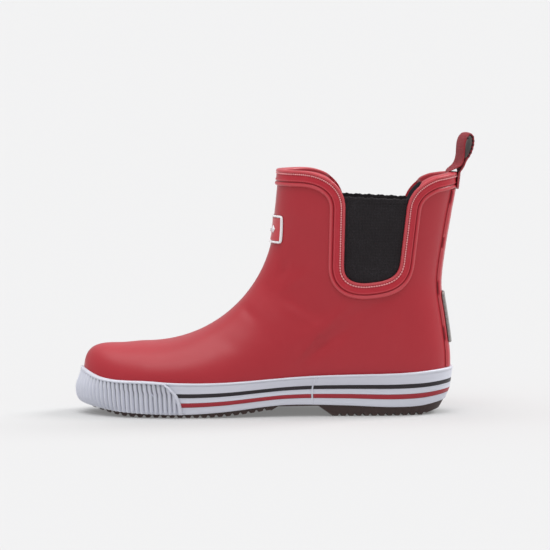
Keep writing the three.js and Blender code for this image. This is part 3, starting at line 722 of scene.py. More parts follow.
w.join(w.maths("ADD", 0.75, w.maths("MULTIPLY", fibre, 0.2)), gives.inputs["Roughness"])
bump = w.add("Bump")
bump.inputs["Distance"].default_value = 0.0003
w.join(takes.outputs["Relief"], bump.inputs["Strength"])
w.join(w.maths("ADD", thread_high, w.maths("MULTIPLY", fibre, 0.3)), bump.inputs["Height"])
w.join(bump.outputs["Normal"], gives.inputs["Normal"])


# %% Cloths, tape, foam and board
def woven(name, thread, shade, fluff_colour, warp, weft, fluff=0.2, relief=0.6, sheen=0.1):
    """A cloth: its own Principled shader, fed by the shared weave group."""
    values = {
        "Thread": thread, "Shade": shade, "Fluff Colour": fluff_colour, "Warp": warp, "Weft": weft,
        "Fluff": fluff, "Relief": relief,
    }
    material, shader = group_finish(name, weave_group, values, specular=0.25)
    shader.inputs["Sheen Weight"].default_value = sheen
    shader.inputs["Sheen Roughness"].default_value = 0.5
    return material


def porous(name, colour, dark, cell, depth, roughness=0.9):
    """Foam, felt or board: Voronoi cells darken the pits between the grains and raise them as bump."""
    material, tree, shader = new_finish(name)
    nodes = Wires(tree)
    where = nodes.add("TexCoord").outputs["Object"]
    cells = nodes.add("TexVoronoi", feature="F1")
    nodes.join(where, cells.inputs["Vector"])
    cells.inputs["Scale"].default_value = cell
    patch = nodes.noise(where, 90.0, 4.0, 0.6)
    share = nodes.maths("MULTIPLY", nodes.remap(cells.outputs["Distance"], 0.15, 0.7), 0.7)
    colours = nodes.mix(nodes.maths("ADD", share, nodes.maths("MULTIPLY", patch, 0.25)), colour, dark)
    nodes.join(colours, shader.inputs["Base Color"])
    raised = nodes.add("Bump")
    raised.inputs["Distance"].default_value = depth
    nodes.join(nodes.maths("ADD", cells.outputs["Distance"], patch), raised.inputs["Height"])
    nodes.join(raised.outputs["Normal"], shader.inputs["Normal"])
    rough = nodes.remap(patch, 0.2, 0.8, roughness - 0.1, min(roughness + 0.08, 1.0))
    nodes.join(rough, shader.inputs["Roughness"])
    shader.inputs["Specular IOR Level"].default_value = 0.2
    return material


def glass_bead_tape(name):
    """Reflective tape: a grey metallic film under a layer of tiny beads, with a faint diamond quilting."""
    material, tree, shader = new_finish(name)
    nodes = Wires(tree)
    split = nodes.add("SeparateXYZ")
    nodes.join(nodes.add("TexCoord").outputs["UV"], split.inputs[0])
    up = nodes.maths("ADD", split.outputs["X"], split.outputs["Y"])
    down = nodes.maths("SUBTRACT", split.outputs["X"], split.outputs["Y"])
    lines = [
        nodes.maths("ABSOLUTE", nodes.maths("SINE", nodes.maths("MULTIPLY", way, 9.0))) for way in (up, down)
    ]
    quilt = nodes.remap(nodes.maths("MINIMUM", *lines), 0.0, 0.22)
    where = nodes.add("TexCoord").outputs["Object"]
    beads = nodes.noise(where, 2600.0, 2.0, 0.6)
    patch = nodes.noise(where, 120.0, 3.0)
    film = nodes.mix(quilt, srgb(96, 94, 92), srgb(150, 146, 142))
    film = nodes.mix(nodes.maths("MULTIPLY", nodes.remap(beads, 0.4, 0.8), 0.4), film, srgb(188, 186, 182))
    worn = nodes.mix(nodes.maths("MULTIPLY", patch, 0.3), film, srgb(112, 106, 104))
    nodes.join(worn, shader.inputs["Base Color"])
    nodes.join(nodes.remap(beads, 0.2, 0.8, 0.34, 0.52), shader.inputs["Roughness"])
    raised = nodes.add("Bump")
    raised.inputs["Distance"].default_value = 0.0001
    raised.inputs["Strength"].default_value = 0.6
    nodes.join(nodes.maths("ADD", quilt, nodes.maths("MULTIPLY", beads, 0.4)), raised.inputs["Height"])
    nodes.join(raised.outputs["Normal"], shader.inputs["Normal"])
    shader.inputs["Metallic"].default_value = 0.35
    return material


elastic = woven(
    "elastic", srgb(43, 38, 41), srgb(13, 10, 12), srgb(88, 84, 90), warp=13.0, weft=11.0, fluff=0.22,
    relief=0.7,
)
webbing = woven(
    "webbing", srgb(178, 56, 64), srgb(96, 22, 32), srgb(224, 140, 140), warp=16.0, weft=12.0, fluff=0.18,
    relief=0.5,
)
thread_white = woven(
    "stitching", srgb(232, 214, 214), srgb(120, 60, 64), srgb(250, 240, 240), warp=22.0, weft=22.0, fluff=0.2
)
knit = woven(
    "knit", srgb(150, 147, 152), srgb(84, 82, 88), srgb(196, 194, 198), warp=9.0, weft=7.0, fluff=0.35
)
binding_cloth = woven(
    "binding", srgb(62, 60, 68), srgb(22, 21, 25), srgb(120, 118, 126), warp=14.0, weft=14.0, fluff=0.2
)
foam = porous("footbed_foam", srgb(84, 87, 97), srgb(44, 46, 54), 700.0, 0.0003)
board_finish = porous("board", srgb(172, 148, 114), srgb(120, 98, 70), 500.0, 0.0002)
stiffener_finish = porous("stiffener", srgb(216, 210, 196), srgb(170, 162, 144), 600.0, 0.0002)
felt = porous("felt", srgb(184, 170, 142), srgb(130, 116, 92), 420.0, 0.0004)
reflective = glass_bead_tape("reflective")
print("five cloths, three fillers, a foam and a reflective tape")

# %% [markdown]
# ## The upper
# The real upper is one moulded skin of rubber. Here its outer and inner faces are the same form at two
# depths, both closed at the toe. They run past the collar, and one cutter with the outline of the free edge
# in side view trims them, because the collar and the two elastic panels are cut straight across the boot.

# %% The free edge in side view
SHOULDER = COLLAR_Z - 22
GORE_FRONT, GORE_REAR, GORE_REAR_LOW, GORE_LOW, GORE_DROP = 42, 78.2, 74.4, 79.6, 16
LOOP_X = 108.6
EDGE_START_X, EDGE_END_X = GORE_FRONT - 27, GORE_REAR + 18


def bezier(a, b, c, d, steps=40):
    """Cubic Bezier curve from a to d with handles b and c, without its last point."""
    t = np.linspace(0, 1, steps, endpoint=False)[:, None]
    a, b, c, d = (np.array(p, float) for p in (a, b, c, d))
    return a * (1 - t) ** 3 + 3 * b * t * (1 - t) ** 2 + 3 * c * t * t * (1 - t) + d * t**3


def line(a, b, steps=20):
    """Straight line from a to b without its last point."""
    return np.array(a) + (np.array(b) - np.array(a)) * np.linspace(0, 1, steps, endpoint=False)[:, None]


edge_middle = np.vstack([
    bezier(
        (EDGE_START_X, COLLAR_Z), (GORE_FRONT - 12, COLLAR_Z), (GORE_FRONT, COLLAR_Z - 8),
        (GORE_FRONT, SHOULDER),
    ),
    line((GORE_FRONT, SHOULDER), (GORE_FRONT - 0.8, GORE_LOW + 10)),
    bezier(
        (GORE_FRONT - 0.8, GORE_LOW + 10), (GORE_FRONT - 0.8, GORE_LOW + 3), (GORE_FRONT + 3, GORE_LOW),
        (GORE_FRONT + 12, GORE_LOW),
    ),
    bezier(
        (GORE_FRONT + 12, GORE_LOW), (GORE_REAR_LOW - 8, GORE_LOW + 1), (GORE_REAR_LOW - 1, GORE_LOW + 3),
        (GORE_REAR_LOW, GORE_LOW + 12),
    ),
    line((GORE_REAR_LOW, GORE_LOW + 12), (GORE_REAR, SHOULDER)),
    bezier(
        (GORE_REAR, SHOULDER), (GORE_REAR + 1.3, SHOULDER + 9), (GORE_REAR + 8, REAR_Z - 5),
        (EDGE_END_X, REAR_Z - 2),
    ),
])
edge_side = np.vstack([
    line((-40, COLLAR_Z), (EDGE_START_X, COLLAR_Z)), edge_middle,
    line((EDGE_END_X, REAR_Z - 2), (LOOP_X, REAR_Z)), line((LOOP_X, REAR_Z), (LOOP_X + 40, REAR_Z), 4),
])


def edge_moved(distance):
    """The free edge moved into the wall of the boot along its own normal in side view."""
    way = np.gradient(edge_side, axis=0)
    way /= np.linalg.norm(way, axis=1, keepdims=True)
    return edge_side + np.stack([way[:, 1], -way[:, 0]], axis=-1) * distance


def trim_above(piece, distance):
    """Cuts away what lies above the free edge moved in by a distance, with one prism across the boot."""
    above, beside = 260, 120
    side = np.vstack([edge_moved(distance), [(LOOP_X + 40, above), (-40, above)]])
    n = len(side)
    points = np.vstack([np.insert(side, 1, -beside, axis=1), np.insert(side, 1, beside, axis=1)]) * MM
    around = np.arange(n)
    after = (around + 1) % n
    sides = np.stack([around, after, after + n, around + n], axis=-1).tolist()
    caps = [list(range(n))[::-1], list(range(n, 2 * n))]
    mesh = bpy.data.meshes.new("trim")
    mesh.from_pydata(points.tolist(), [], sides + caps)
    if volume_of(points, np.array(sides)) < 0:
        mesh.flip_normals()
    cutter = bpy.data.objects.new("trim", mesh)
    bpy.context.scene.collection.objects.link(cutter)
    cut = piece.modifiers.new("trim", "BOOLEAN")
    cut.operation, cut.solver, cut.object = "DIFFERENCE", "MANIFOLD", cutter
    with bpy.context.temp_override(object=piece, active_object=piece):
        bpy.ops.object.modifier_apply(modifier=cut.name)
    bpy.data.objects.remove(cutter)
    print(piece.name, "trimmed to", len(piece.data.polygons), "faces")


# %% Skins of the form
UPPER_WALL, STIFFENER, BOARD, LINING = 1.6, 0.8, 1.5, 0.9


def skin(rows, columns, depth, inner=False):
    """A closed grid of the form at a depth: rings from near the toe's tip to past the collar."""
    nose = TOE_STATION * (1 - np.linspace(0.04, 1, rows // 4, endpoint=False) ** 2)
    s = np.concatenate([nose, np.linspace(0, LAST_STATION, rows - len(nose))])[:, None]
    angle = np.linspace(0, 2 * math.pi, columns, endpoint=False)[None, :]
    flat = form_point(s, angle)
    return form(s, angle, -depth(flat) if callable(depth) else -depth)


def shell(outer, inner):
    """Two nested skins joined round their last ring, each closed by one point inside its first ring."""
    rows, columns = outer.shape[:2]
    rows_in = inner.shape[0]
    n, m = rows * columns, rows_in * columns
    c = np.arange(columns)
    after = (c + 1) % columns
    rim = np.stack([(rows - 1) * columns + c, (rows - 1) * columns + after,
                    n + (rows_in - 1) * columns + after, n + (rows_in - 1) * columns + c], axis=-1)
    tips = np.stack([outer[0].mean(axis=0), inner[0].mean(axis=0)])
    points = np.vstack([outer.reshape(-1, 3), inner.reshape(-1, 3), tips])
    outside, within = quads(rows, columns, False, True), quads(rows_in, columns, False, True)
    body = np.vstack([outside, within[:, ::-1] + n, rim])
    nose = np.stack([after, c, np.full(columns, n + m)], axis=-1)
    nose_in = np.stack([n + c, n + after, np.full(columns, n + m + 1)], axis=-1)
    if volume_of(points, body) < 0:
        body, nose, nose_in = body[:, ::-1], nose[:, ::-1], nose_in[:, ::-1]
    return points, body.tolist() + nose.tolist() + nose_in.tolist()


print("free edge of", len(edge_side), "points")


# %% Depths of the layers
def near_bottom(p):
    """1 at the insole board, 0 higher up the wall."""
    return 1 - ramp(p[..., 2] - sole_z(p[..., 0]), 6, 11)


def lining_depth(p):
    """How deep the lining lies: deeper over the toe puff, the heel counter and the insole board."""
    over_toe = 1 - ramp(p[..., 0], -74, -68)
    over_heel = ramp(p[..., 0], 32, 44) * (1 - ramp(p[..., 2], 74, 86))
    stiff = np.maximum(over_toe, over_heel) * (STIFFENER + GAP)
    return UPPER_WALL + GAP + np.maximum(stiff, near_bottom(p) * (BOARD + GAP))


CREASES = [  # x, z, direction in degrees, half length, half width, height: soft folds where the foot bends
    (5, 86, 62, 6, 2.2, -0.5), (12, 80, 40, 9, 3.0, 0.3), (30, 55, 32, 15, 4.0, 0.45),
    (36, 47, 36, 14, 3.6, -0.4), (14, 60, 150, 12, 3.4, 0.3), (-16, 62, 132, 7, 3.2, -0.3),
    (48, 62, 25, 9, 3.6, -0.3), (70, 50, 75, 10, 4, 0.25), (-30, 44, 160, 12, 5, -0.2),
    (66, 70, 20, 8, 3, -0.25), (24, 45, 47, 13, 1.5, 0.4), (27.5, 42, 47, 12, 3, -0.35),
]
FOLD_STRENGTH = 2.0


def folds(p):
    """Sum of long soft bumps and dents: each is a bell across its direction times a bell along it."""
    height = np.zeros(p.shape[:-1])
    for x, z, degrees, length, width, tall in CREASES:
        c, n = math.cos(math.radians(degrees)), math.sin(math.radians(degrees))
        shift = np.where(p[..., 1] > 0, 4.0, 0.0)
        dx, dz = p[..., 0] - x - shift, p[..., 2] - z
        along, across = (dx * c + dz * n) / length, (dz * c - dx * n) / width
        height += tall * np.exp(-along**2 - across**2)
    return FOLD_STRENGTH * height * ramp(np.abs(p[..., 1]), 6, 16)


# %% Upper and lining
def make_shell(name, outer, inner, finish, node, distance, uv=None):
    """A nested pair of skins as one trimmed piece."""
    points, faces = shell(outer, inner)
    mesh = bpy.data.meshes.new(name)
    mesh.from_pydata((points * MM).tolist(), [], faces)
    if uv is not None:
        set_uv(mesh, uv(points))
    piece = bpy.data.objects.new(name, mesh)
    bpy.context.scene.collection.objects.link(piece)
    mesh.materials.append(finish)
    trim_above(piece, distance)
    piece.data.shade_smooth()
    piece.data.set_sharp_from_angle(angle=math.radians(40))
    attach(piece, "boot")
    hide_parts(node)
    return piece


SEAM_LAP = 2
make_shell(
    "rubber_shell", skin(220, 240, lambda p: -folds(p)), skin(64, 240, UPPER_WALL), red_rubber,
    "rubber_upper", SEAM_LAP + GAP,
)


def around_leg(points):
    """UV in centimetres: the distance round the boot against the height and the way along the foot."""
    round_leg = np.arctan2(points[:, 1], 40 - points[:, 0] * 0.2) * 3.4 + points[:, 0] / 10
    return np.stack([round_leg, points[:, 2] / 10], axis=-1)


lining = make_shell(
    "knit_lining", skin(90, 132, lining_depth), skin(80, 132, lambda p: lining_depth(p) + LINING), knit,
    "lining", SEAM_LAP + GAP, uv=around_leg,
)

# %% [markdown]
# ## Collar band
# A moulded band covers the raw edge of the upper: level round the collar, and down and up round each
# elastic panel. It has a rounded lip, a row of small beads that look like stitches, and two ridges. Its
# profile is carried along the free edge, and each point of it is laid back onto the form, so it hugs the
# boot everywhere.


# %% The free edge in space
def slice_side(s, x, z):
    """Place of (x, z) along slice s, the slice's length, its half width h(1 - u^n)^(1/n) there and its shift."""
    sx, sz, dx, dz, length, half, mid, front, back, shift = slice_frame(s)
    along = (x - sx) * dx + (z - sz) * dz
    middle = length * mid
    u = np.clip(np.where(along < middle, 1 - along / middle, (along - middle) / (length - middle)), 0, 1)
    n = np.where(along < middle, front, back)
    return along, length, half * (1 - u**n) ** (1 / n), shift * along / length


def side_point(x, z, side):
    """The form's surface seen from one side: y from the superellipse of the slice through (x, z)."""
    _, _, half, shift = slice_side(station(x, z), x, z)
    return np.stack([x, side * half + shift, z], axis=-1)


def free_edge(count):
    """The closed path of the free edge: front centre, inner side, rear centre, outer side."""
    middle = side_point(edge_middle[:, 0], edge_middle[:, 1], -1)
    _, turn_front = place_on_form(middle[:1])
    level = SHAFT_START + COLLAR_Z - BEND_Z
    front = form(level, np.linspace(0, turn_front[0], 60, endpoint=False))
    _, turn_rear = place_on_form(middle[-1:])
    sweep = np.linspace(turn_rear[0], -math.pi, 60)[1:]
    height = np.full(sweep.shape, REAR_Z - 2.0)
    for _ in range(4):
        rear = form(SHAFT_START + height - BEND_Z, sweep)
        height = REAR_Z - 2 + 2 * np.clip((rear[:, 0] - EDGE_END_X) / (LOOP_X - EDGE_END_X), 0, 1)
    inner_side = np.vstack([front, middle, rear])
    outer_side = inner_side[-2:0:-1] * np.array([1, -1, 1])
    return evenly(np.vstack([inner_side, outer_side]), count, closed=True)


def soft_closed(values, passes=6):
    """A closed row smoothed by repeated averages with its neighbours."""
    for _ in range(passes):
        values = values / 2 + (np.roll(values, 1, axis=0) + np.roll(values, -1, axis=0)) / 4
    return values


BAND_COLUMNS = 1460
edge_path = soft_closed(free_edge(BAND_COLUMNS), 24)
edge_run, edge_length = along_path(edge_path, True)
edge_run = edge_run[:-1]
edge_s, edge_turn = place_on_form(edge_path)
edge_normal = form(edge_s, edge_turn, 1.0) - form(edge_s, edge_turn, 0.0)
edge_way = np.roll(edge_path, -1, axis=0) - np.roll(edge_path, 1, axis=0)
edge_way /= np.linalg.norm(edge_way, axis=1, keepdims=True)
edge_in = soft_closed(np.cross(edge_way, edge_normal), 60)
edge_in /= np.linalg.norm(edge_in, axis=1, keepdims=True)
print("free edge", round(edge_length, 1), "mm round")


def sweep_edge(profile):
    """A profile of [distance in from the edge, height over the form] for every column, laid on the form."""
    across, height = profile[..., 0], profile[..., 1]
    points = edge_path[:, None, :] + edge_in[:, None, :] * across[..., None]
    return lay(points, height)


# %% Band and binding
STITCH_PITCH = edge_length / round(edge_length / 1.42)


def band_profile():
    """Lip, bead row, flat, twin ridge and outer roll; the lip reaches inwards only away from the panels."""
    x, z = edge_path[:, 0], edge_path[:, 2]
    lip = 1 - ramp(x, 30, 35) * (1 - ramp(x, 85, 90))
    at_front = 1 - ramp(x, 30, 44)
    bead = 0.5 + 0.5 * np.cos(2 * math.pi * edge_run / STITCH_PITCH)
    face = np.array([
        (0.0, 0.55), (0.08, 1.0), (0.35, 1.36), (0.8, 1.52), (1.3, 1.5), (1.7, 1.24), (1.95, 0.84),
        (2.25, 0.6), (2.6, 0.66), (2.9, 0.94), (3.4, 1.12), (4.4, 1.14), (5.3, 1.12), (5.65, 1.3),
        (6.0, 1.38), (6.35, 1.25), (6.7, 0.88), (7.1, 0.72), (7.45, 1.02), (7.9, 1.42), (8.5, 1.56),
        (9.05, 1.42), (9.4, 1.05), (9.58, 0.6), (9.62, 0.16), (8.4, 0.12), (5.5, 0.12), (2.35, 0.12),
    ])
    full = np.broadcast_to(face, (BAND_COLUMNS, len(face), 2)).copy()
    for point, tall in ((7, 0.3), (8, 0.25)):  # the groove beside the lip
        full[:, point, 1] += tall * bead
    for point, tall in ((15, 0.16), (14, 0.10)):  # the first ridge
        full[:, point, 1] += tall * bead * at_front
    deep = 4.3
    inside = np.stack([
        np.stack([2.2 + 3.0 * lip, 0.1 - (deep - 0.2) * lip], axis=-1),
        np.stack([1.6 + 2.0 * lip, 0.06 - (deep - 0.05) * lip], axis=-1),
        np.stack([0.8 + 0.6 * lip, 0.04 - deep * lip], axis=-1),
        np.stack([0.25 + 0.0 * x, 0.06 - (deep - 0.15) * lip], axis=-1),
        np.stack([0.02 + 0.0 * x, 0.12 - (deep - 0.6) * lip], axis=-1),
        np.stack([-0.1 * lip, 0.3 - 1.9 * lip], axis=-1),
    ], axis=1)
    return np.concatenate([full, inside], axis=1)


make_ring(
    "collar_trim", sweep_edge(band_profile()), red_trim, smooth=60, nodes=("collar_band",), slot="red_trim"
)


def stitch_row():
    """A fine round bar in the groove of the band, whose radius swells once for every stitch."""
    turn = np.linspace(0, 2 * math.pi, 8, endpoint=False)
    swell = 0.06 + 0.48 * np.sqrt(0.5 + 0.5 * np.cos(2 * math.pi * edge_run / STITCH_PITCH))
    across = 2.32 + np.cos(turn) * swell[:, None]
    return sweep_edge(np.stack([across, 1.12 + np.sin(turn) * swell[:, None]], axis=-1))


# The stitch beads take the light pink rubber, a painted highlight on the band's red.
make_ring("collar_stitches", stitch_row(), stitch_highlight_red, smooth=70, slot="red_trim")
tape = np.array([
    (2.5, -3.15), (5.0, -3.1), (8.8, -3.12), (9.45, -3.2), (9.55, -3.45), (9.4, -3.7), (8.8, -3.8),
    (6.0, -3.86), (3.2, -3.82), (2.6, -3.75), (2.42, -3.45),
])
binding_rings = sweep_edge(np.broadcast_to(tape, (BAND_COLUMNS, len(tape), 2)))[::3]
tape_uv = np.stack(np.broadcast_arrays(edge_run[::3, None] / 10, tape[None, :, 0] / 10), axis=-1)
make_ring(
    "edge_binding", binding_rings, binding_cloth, smooth=60, nodes=("inner_binding",), slot="binding",
    uv=tape_uv.reshape(-1, 2),
)

# %% [markdown]
# ## Elastic panels
# A gore is a woven elastic, cut as a tongue and vulcanised under the band. It is under a little tension, so
# it lies slightly hollow between its edges, it has fine upright ribs where the rubber threads run, and its
# top is folded over as a hem that waves a little. It is a sheet of cloth.


# %% Gore
def side_of_gap(distance, rear):
    """The width limits of the gap between the bands: x of the free edge moved in, as a function of height."""
    side = edge_moved(distance)
    lowest = int(np.argmin(side[:, 1]))
    part = side[lowest:] if rear else side[: lowest + 1][::-1]
    part = part[np.concatenate([[True], np.diff(np.maximum.accumulate(part[:, 1])) > 0])]
    return lambda z: np.interp(z, part[:, 1], part[:, 0]), float(side[lowest, 1])


def gore_grid(side, columns=150, rows=170):
    """Rows from the tongue's tip to the hem; columns from the front band to the rear band."""
    ahead, low = side_of_gap(1.7, False)
    behind, _ = side_of_gap(1.7, True)
    u = np.linspace(0, 1, columns)[None, :]
    v = np.linspace(0, 1, rows)[:, None] ** 1.25
    z = low + 0.03 + v * 50 + 0 * u
    for _ in range(5):
        x = ahead(z) + (behind(z) - ahead(z)) * u
        top = COLLAR_Z - GORE_DROP + 2.4 - 0.6 * side - 0.0475 * x
        top = top + 0.22 * np.sin(x * 0.9) + 0.13 * np.sin(x * 2.3 + 1)
        z = low + 0.03 + v * (top - low - 0.03)
    width = 37.0
    rib = np.cos(2 * math.pi * (u * width) / 1.5)
    lines = np.cos(2 * math.pi * (z - low) / 1.9)
    hollow = 0.45 * np.sin(math.pi * u) ** 0.7 * ramp(v, 0.02, 0.3)
    hem = ramp(z, top - 3.2, top - 2.7) * 0.22 - 0.16 * np.exp(-(((z - top + 3.3) / 0.35) ** 2))
    edge = 0.5 * (1 - ramp(np.minimum(np.minimum(u, 1 - u) * width, top - z), 0.0, 0.7))
    face = -0.28 - hollow + 0.10 * rib + 0.045 * lines + hem - edge
    back = -1.35 - hollow * 0.6 + 0.05 * rib - hem * 0.3 + edge * 0.5
    flat = side_point(x, z, side)
    s, turn = place_on_form(flat)
    uv = np.stack([u * width / 10 + 0 * v, (z - low) / 10], axis=-1).reshape(-1, 2)
    return form(s, turn, face), form(s, turn, back), np.vstack([uv, uv])


for name, side, node in (("gore_inner_side", -1, "gore_medial"), ("gore_outer_side", 1, "gore_lateral")):
    face, back, uv = gore_grid(side)
    gore = make_plate(name, face, back, elastic, smooth=50, nodes=(node,), slot="elastic", uv=uv)

# %% [markdown]
# ## Back stay, reflector and badge
# A strip of rubber covers the seam at the back, with a piped edge on each side. A reflective patch is stuck
# on it, and a framed badge wraps the front of the shaft. Each is a small rectangle of (across, up) carried
# onto the form. The badge carries three plain lozenges and no mark of any maker.


# %% Front and back of the shaft
def on_shaft(y, z, rear):
    """The surface point at a given y and height, on the front or on the rear half of the slice."""
    y, z = np.broadcast_arrays(np.asarray(y, float), np.asarray(z, float))
    x = np.full(y.shape, 100.0 if rear else 0.0)
    for _ in range(12):
        sx, sz, dx, dz, length, half, mid, front, back, shift = slice_frame(station(x, z))
        along = (x - sx) * dx + (z - sz) * dz
        share = np.clip(np.abs(y - shift * along / length) / half, 0, 0.999)
        n = back if rear else front
        u = (1 - share**n) ** (1 / n)
        want = length * mid + length * (1 - mid) * u if rear else length * mid * (1 - u)
        x = x + (want - along) * dx
    return np.stack([x, y, z], axis=-1)


def patch(y, z, out, rear):
    """A grid of (y, z) on the shaft, out by a height."""
    s, turn = place_on_form(on_shaft(y, z, rear))
    return form(s, turn, out)


def stay():
    """The back stay: piped edges, a shallow groove beside each, and a softly crowned middle."""
    y = np.linspace(-11, 11, 67)[None, :]
    top_z = np.interp(np.abs(y), [0, 11], [REAR_Z - 9.9, REAR_Z - 10.4])
    foot_z = foxing_top(on_shaft(y, 28.3 + 0 * y, True)[..., 0]) + 0.25
    z = foot_z + (top_z - foot_z) * np.linspace(0, 1, 150)[:, None]
    far = 11 - np.abs(y)
    roll = 0.45 * np.exp(-(((far - 0.9) / 0.55) ** 2)) - 0.42 * np.exp(-(((far - 2.1) / 0.4) ** 2))
    fall = 1 - rolled(far, 0.6)
    height = 1.2 + roll - fall + 0.05 * np.sin(z * 0.23)
    return patch(y, z, height, True), patch(y, z, 0.2 + 0 * height, True)


face, back = stay()
make_plate("back_stay_strip", face, back, red_trim, smooth=60, nodes=("back_stay",), slot="red_trim")


def plaque(half_width, low, high, base, height, rear, radius=1.2, columns=41, rows=41, bevel=0.5):
    """A plate whose corners are rounded by squeezing the grid, and whose edges are rolled over."""
    a = np.linspace(-1, 1, columns)[None, :]
    b = np.linspace(-1, 1, rows)[:, None]
    a = np.sign(a) * (1 - (1 - np.abs(a)) ** 1.3)
    b = np.sign(b) * (1 - (1 - np.abs(b)) ** 1.3)
    half_high = (high - low) / 2
    y, z = a * half_width + 0 * b, b * half_high + 0 * a
    over_y = np.clip(np.abs(y) - (half_width - radius), 0, None)
    over_z = np.clip(np.abs(z) - (half_high - radius), 0, None)
    far = np.hypot(over_y, over_z)
    pull = np.where(far > 0, np.maximum(over_y, over_z) / np.maximum(far, 1e-9), 1.0)
    y = np.sign(y) * (np.abs(y) - over_y * (1 - pull))
    z = np.sign(z) * (np.abs(z) - over_z * (1 - pull)) + (low + high) / 2
    rim = np.minimum(half_width * (1 - np.abs(a)), half_high * (1 - np.abs(b)))
    roll = rolled(rim, bevel)
    uv = np.stack([y / 10, z / 10], axis=-1).reshape(-1, 2)
    top = base + (height - base) * (0.35 + 0.65 * roll)
    return patch(y, z, top, rear), patch(y, z, base + 0 * top, rear), np.vstack([uv, uv])


face, back, uv = plaque(7.5, 42, 72.5, 1.62, 2.75, True, radius=2.0, rows=61)
make_plate(
    "reflective_patch", face, back, reflective, smooth=50, nodes=("heel_reflector",), slot="reflective", uv=uv
)

BADGE_HALF, BADGE_LOW, BADGE_HIGH, FRAME = 17.5, 102, 118.7, 1.3
inset = FRAME + 0.15
face, back, uv = plaque(BADGE_HALF - inset, BADGE_LOW + inset, BADGE_HIGH - inset, 0.3, 0.95, False)
make_plate("badge_panel", face, back, badge_red, smooth=50, nodes=("badge_field",), slot="badge_red")


def badge_rim():
    """A rounded rectangle as a path round the badge, with a small arched profile."""
    turn = np.linspace(0, 2 * math.pi, 400, endpoint=False)
    middle_z, half_z = (BADGE_LOW + BADGE_HIGH) / 2, (BADGE_HIGH - BADGE_LOW) / 2
    rings = []
    for inset, height in (
        (0.0, 0.32), (0.02, 0.9), (0.2, 1.3), (0.5, 1.48), (0.85, 1.46), (1.12, 1.25), (1.28, 0.9),
        (1.3, 0.32),
    ):
        a, b, radius = BADGE_HALF - inset, half_z - inset, max(1.8 - inset, 0.4)
        c, n = np.cos(turn), np.sin(turn)
        corner = radius * np.stack([c, n], axis=-1)
        side, end = np.clip(c * 40, -1, 1) * (a - radius), np.clip(n * 40, -1, 1) * (b - radius)
        rings.append((corner + np.stack([side, end], axis=-1), height))
    points = np.stack([evenly(ring, 400, closed=True) for ring, _ in rings], axis=1)
    heights = np.array([height for _, height in rings])[None, :] + 0 * points[..., 0]
    return patch(points[..., 0], points[..., 1] + middle_z, heights, False)


make_ring("badge_border", badge_rim(), white_rubber, smooth=60, nodes=("badge_frame",), slot="white_rubber")


def lozenge(centre, size=2.35, count=17):
    """A square stood on its corner, domed by the product of two bells, on the badge."""
    a = np.linspace(-1, 1, count)[None, :] * size / 2
    b = np.linspace(-1, 1, count)[:, None] * size / 2
    y, z = centre + a - b, (BADGE_LOW + BADGE_HIGH) / 2 + a + b
    rim = np.minimum(size / 2 - np.abs(a), size / 2 - np.abs(b))
    height = 1.05 + 0.75 * rolled(rim, 0.45)
    return patch(y, z, height, False), patch(y, z, 1.05 + 0 * height, False)


for k in range(3):
    face, back = lozenge((k - 1) * 8.5)
    make_plate(
        f"badge_lozenge_{k + 1}", face, back, white_rubber, smooth=50, nodes=(f"badge_pip_{k + 1}",),
        slot="white_rubber",
    )

# %% [markdown]
# ## Pull loop
# The loop is one strap of red webbing. It is sewn down inside the collar, stands up as a loop, and is sewn
# down again outside. It leans back and is turned a little, which shows its outer face in front and the
# reflective tape on its inner face behind. The strap is baked in place and belongs to no body, while its
# tape and stitches follow the loop's body.

# %% Strap
STRAP_WIDTH, STRAP_THICK, STRAP_STEPS = 16, 1.3, 420
strap_line = catmull_rom(np.array([
    (101.5, 127.6), (102.5, 135.0), (103.1, 141.6), (104.4, 145.0), (107.2, 146.9), (109.3, 148.6),
    (110.4, 150.8), (111.2, 154.0), (111.5, 158.4), (111.9, 162.2), (113.1, 165.3), (115.0, 166.9),
    (116.4, 165.6), (116.8, 162.2), (116.0, 158.0), (114.6, 154.6), (112.5, 151.4), (111.2, 148.4),
    (110.9, 145.0), (110.6, 141.0), (109.8, 134.4),
]))
strap_line = evenly(strap_line, STRAP_STEPS)
strap_run, _ = along_path(strap_line, False)
strap_way = np.gradient(strap_line, axis=0)
strap_way /= np.linalg.norm(strap_way, axis=1, keepdims=True)
strap_out = np.stack([-strap_way[:, 1], strap_way[:, 0]], axis=-1)
strap_top = np.argmax(strap_line[:, 1])


def strap_turn(z):
    """How far the strap is turned about the upright, growing with height."""
    return math.radians(17) * ramp(z, 143, 149)


def on_strap(index, across, out):
    """A point of the strap: along its line, across its width and out from its middle plane."""
    line_x, line_z = strap_line[index, 0], strap_line[index, 1]
    x = line_x + strap_out[index, 0] * out
    z = line_z + strap_out[index, 1] * out
    turn = strap_turn(z)
    squeeze = 1 - 0.07 * ramp(z, 147, 156)
    bow = 0.5 * (1 - (across / 8) ** 2) * ramp(z, 149, 156)
    hug = across**2 / 66 * (1 - ramp(z, 142, 147))
    return np.stack(
        [x - np.sin(turn) * across * squeeze + strap_out[index, 0] * bow - hug,
         np.cos(turn) * across * squeeze, z + strap_out[index, 1] * bow], axis=-1
    )


def strap_rings(first, last, half_width, low, high, count=52):
    """Rounded flat profiles along part of the strap: a superellipse of the width and the thickness."""
    index = np.arange(first, last)[:, None]
    turn = np.linspace(0, 2 * math.pi, count, endpoint=False)[None, :]
    c, n = np.cos(turn), np.sin(turn)
    across = np.sign(c) * np.abs(c) ** 0.5 * half_width + 0 * index
    out = (low + high) / 2 + np.sign(n) * np.abs(n) ** 0.6 * (high - low) / 2 + 0 * index
    return index, across, out


def strap_uv(index, across):
    """UV in centimetres along and across the strap."""
    return np.stack(np.broadcast_arrays(across / 10, strap_run[index] / 10), axis=-1).reshape(-1, 2)


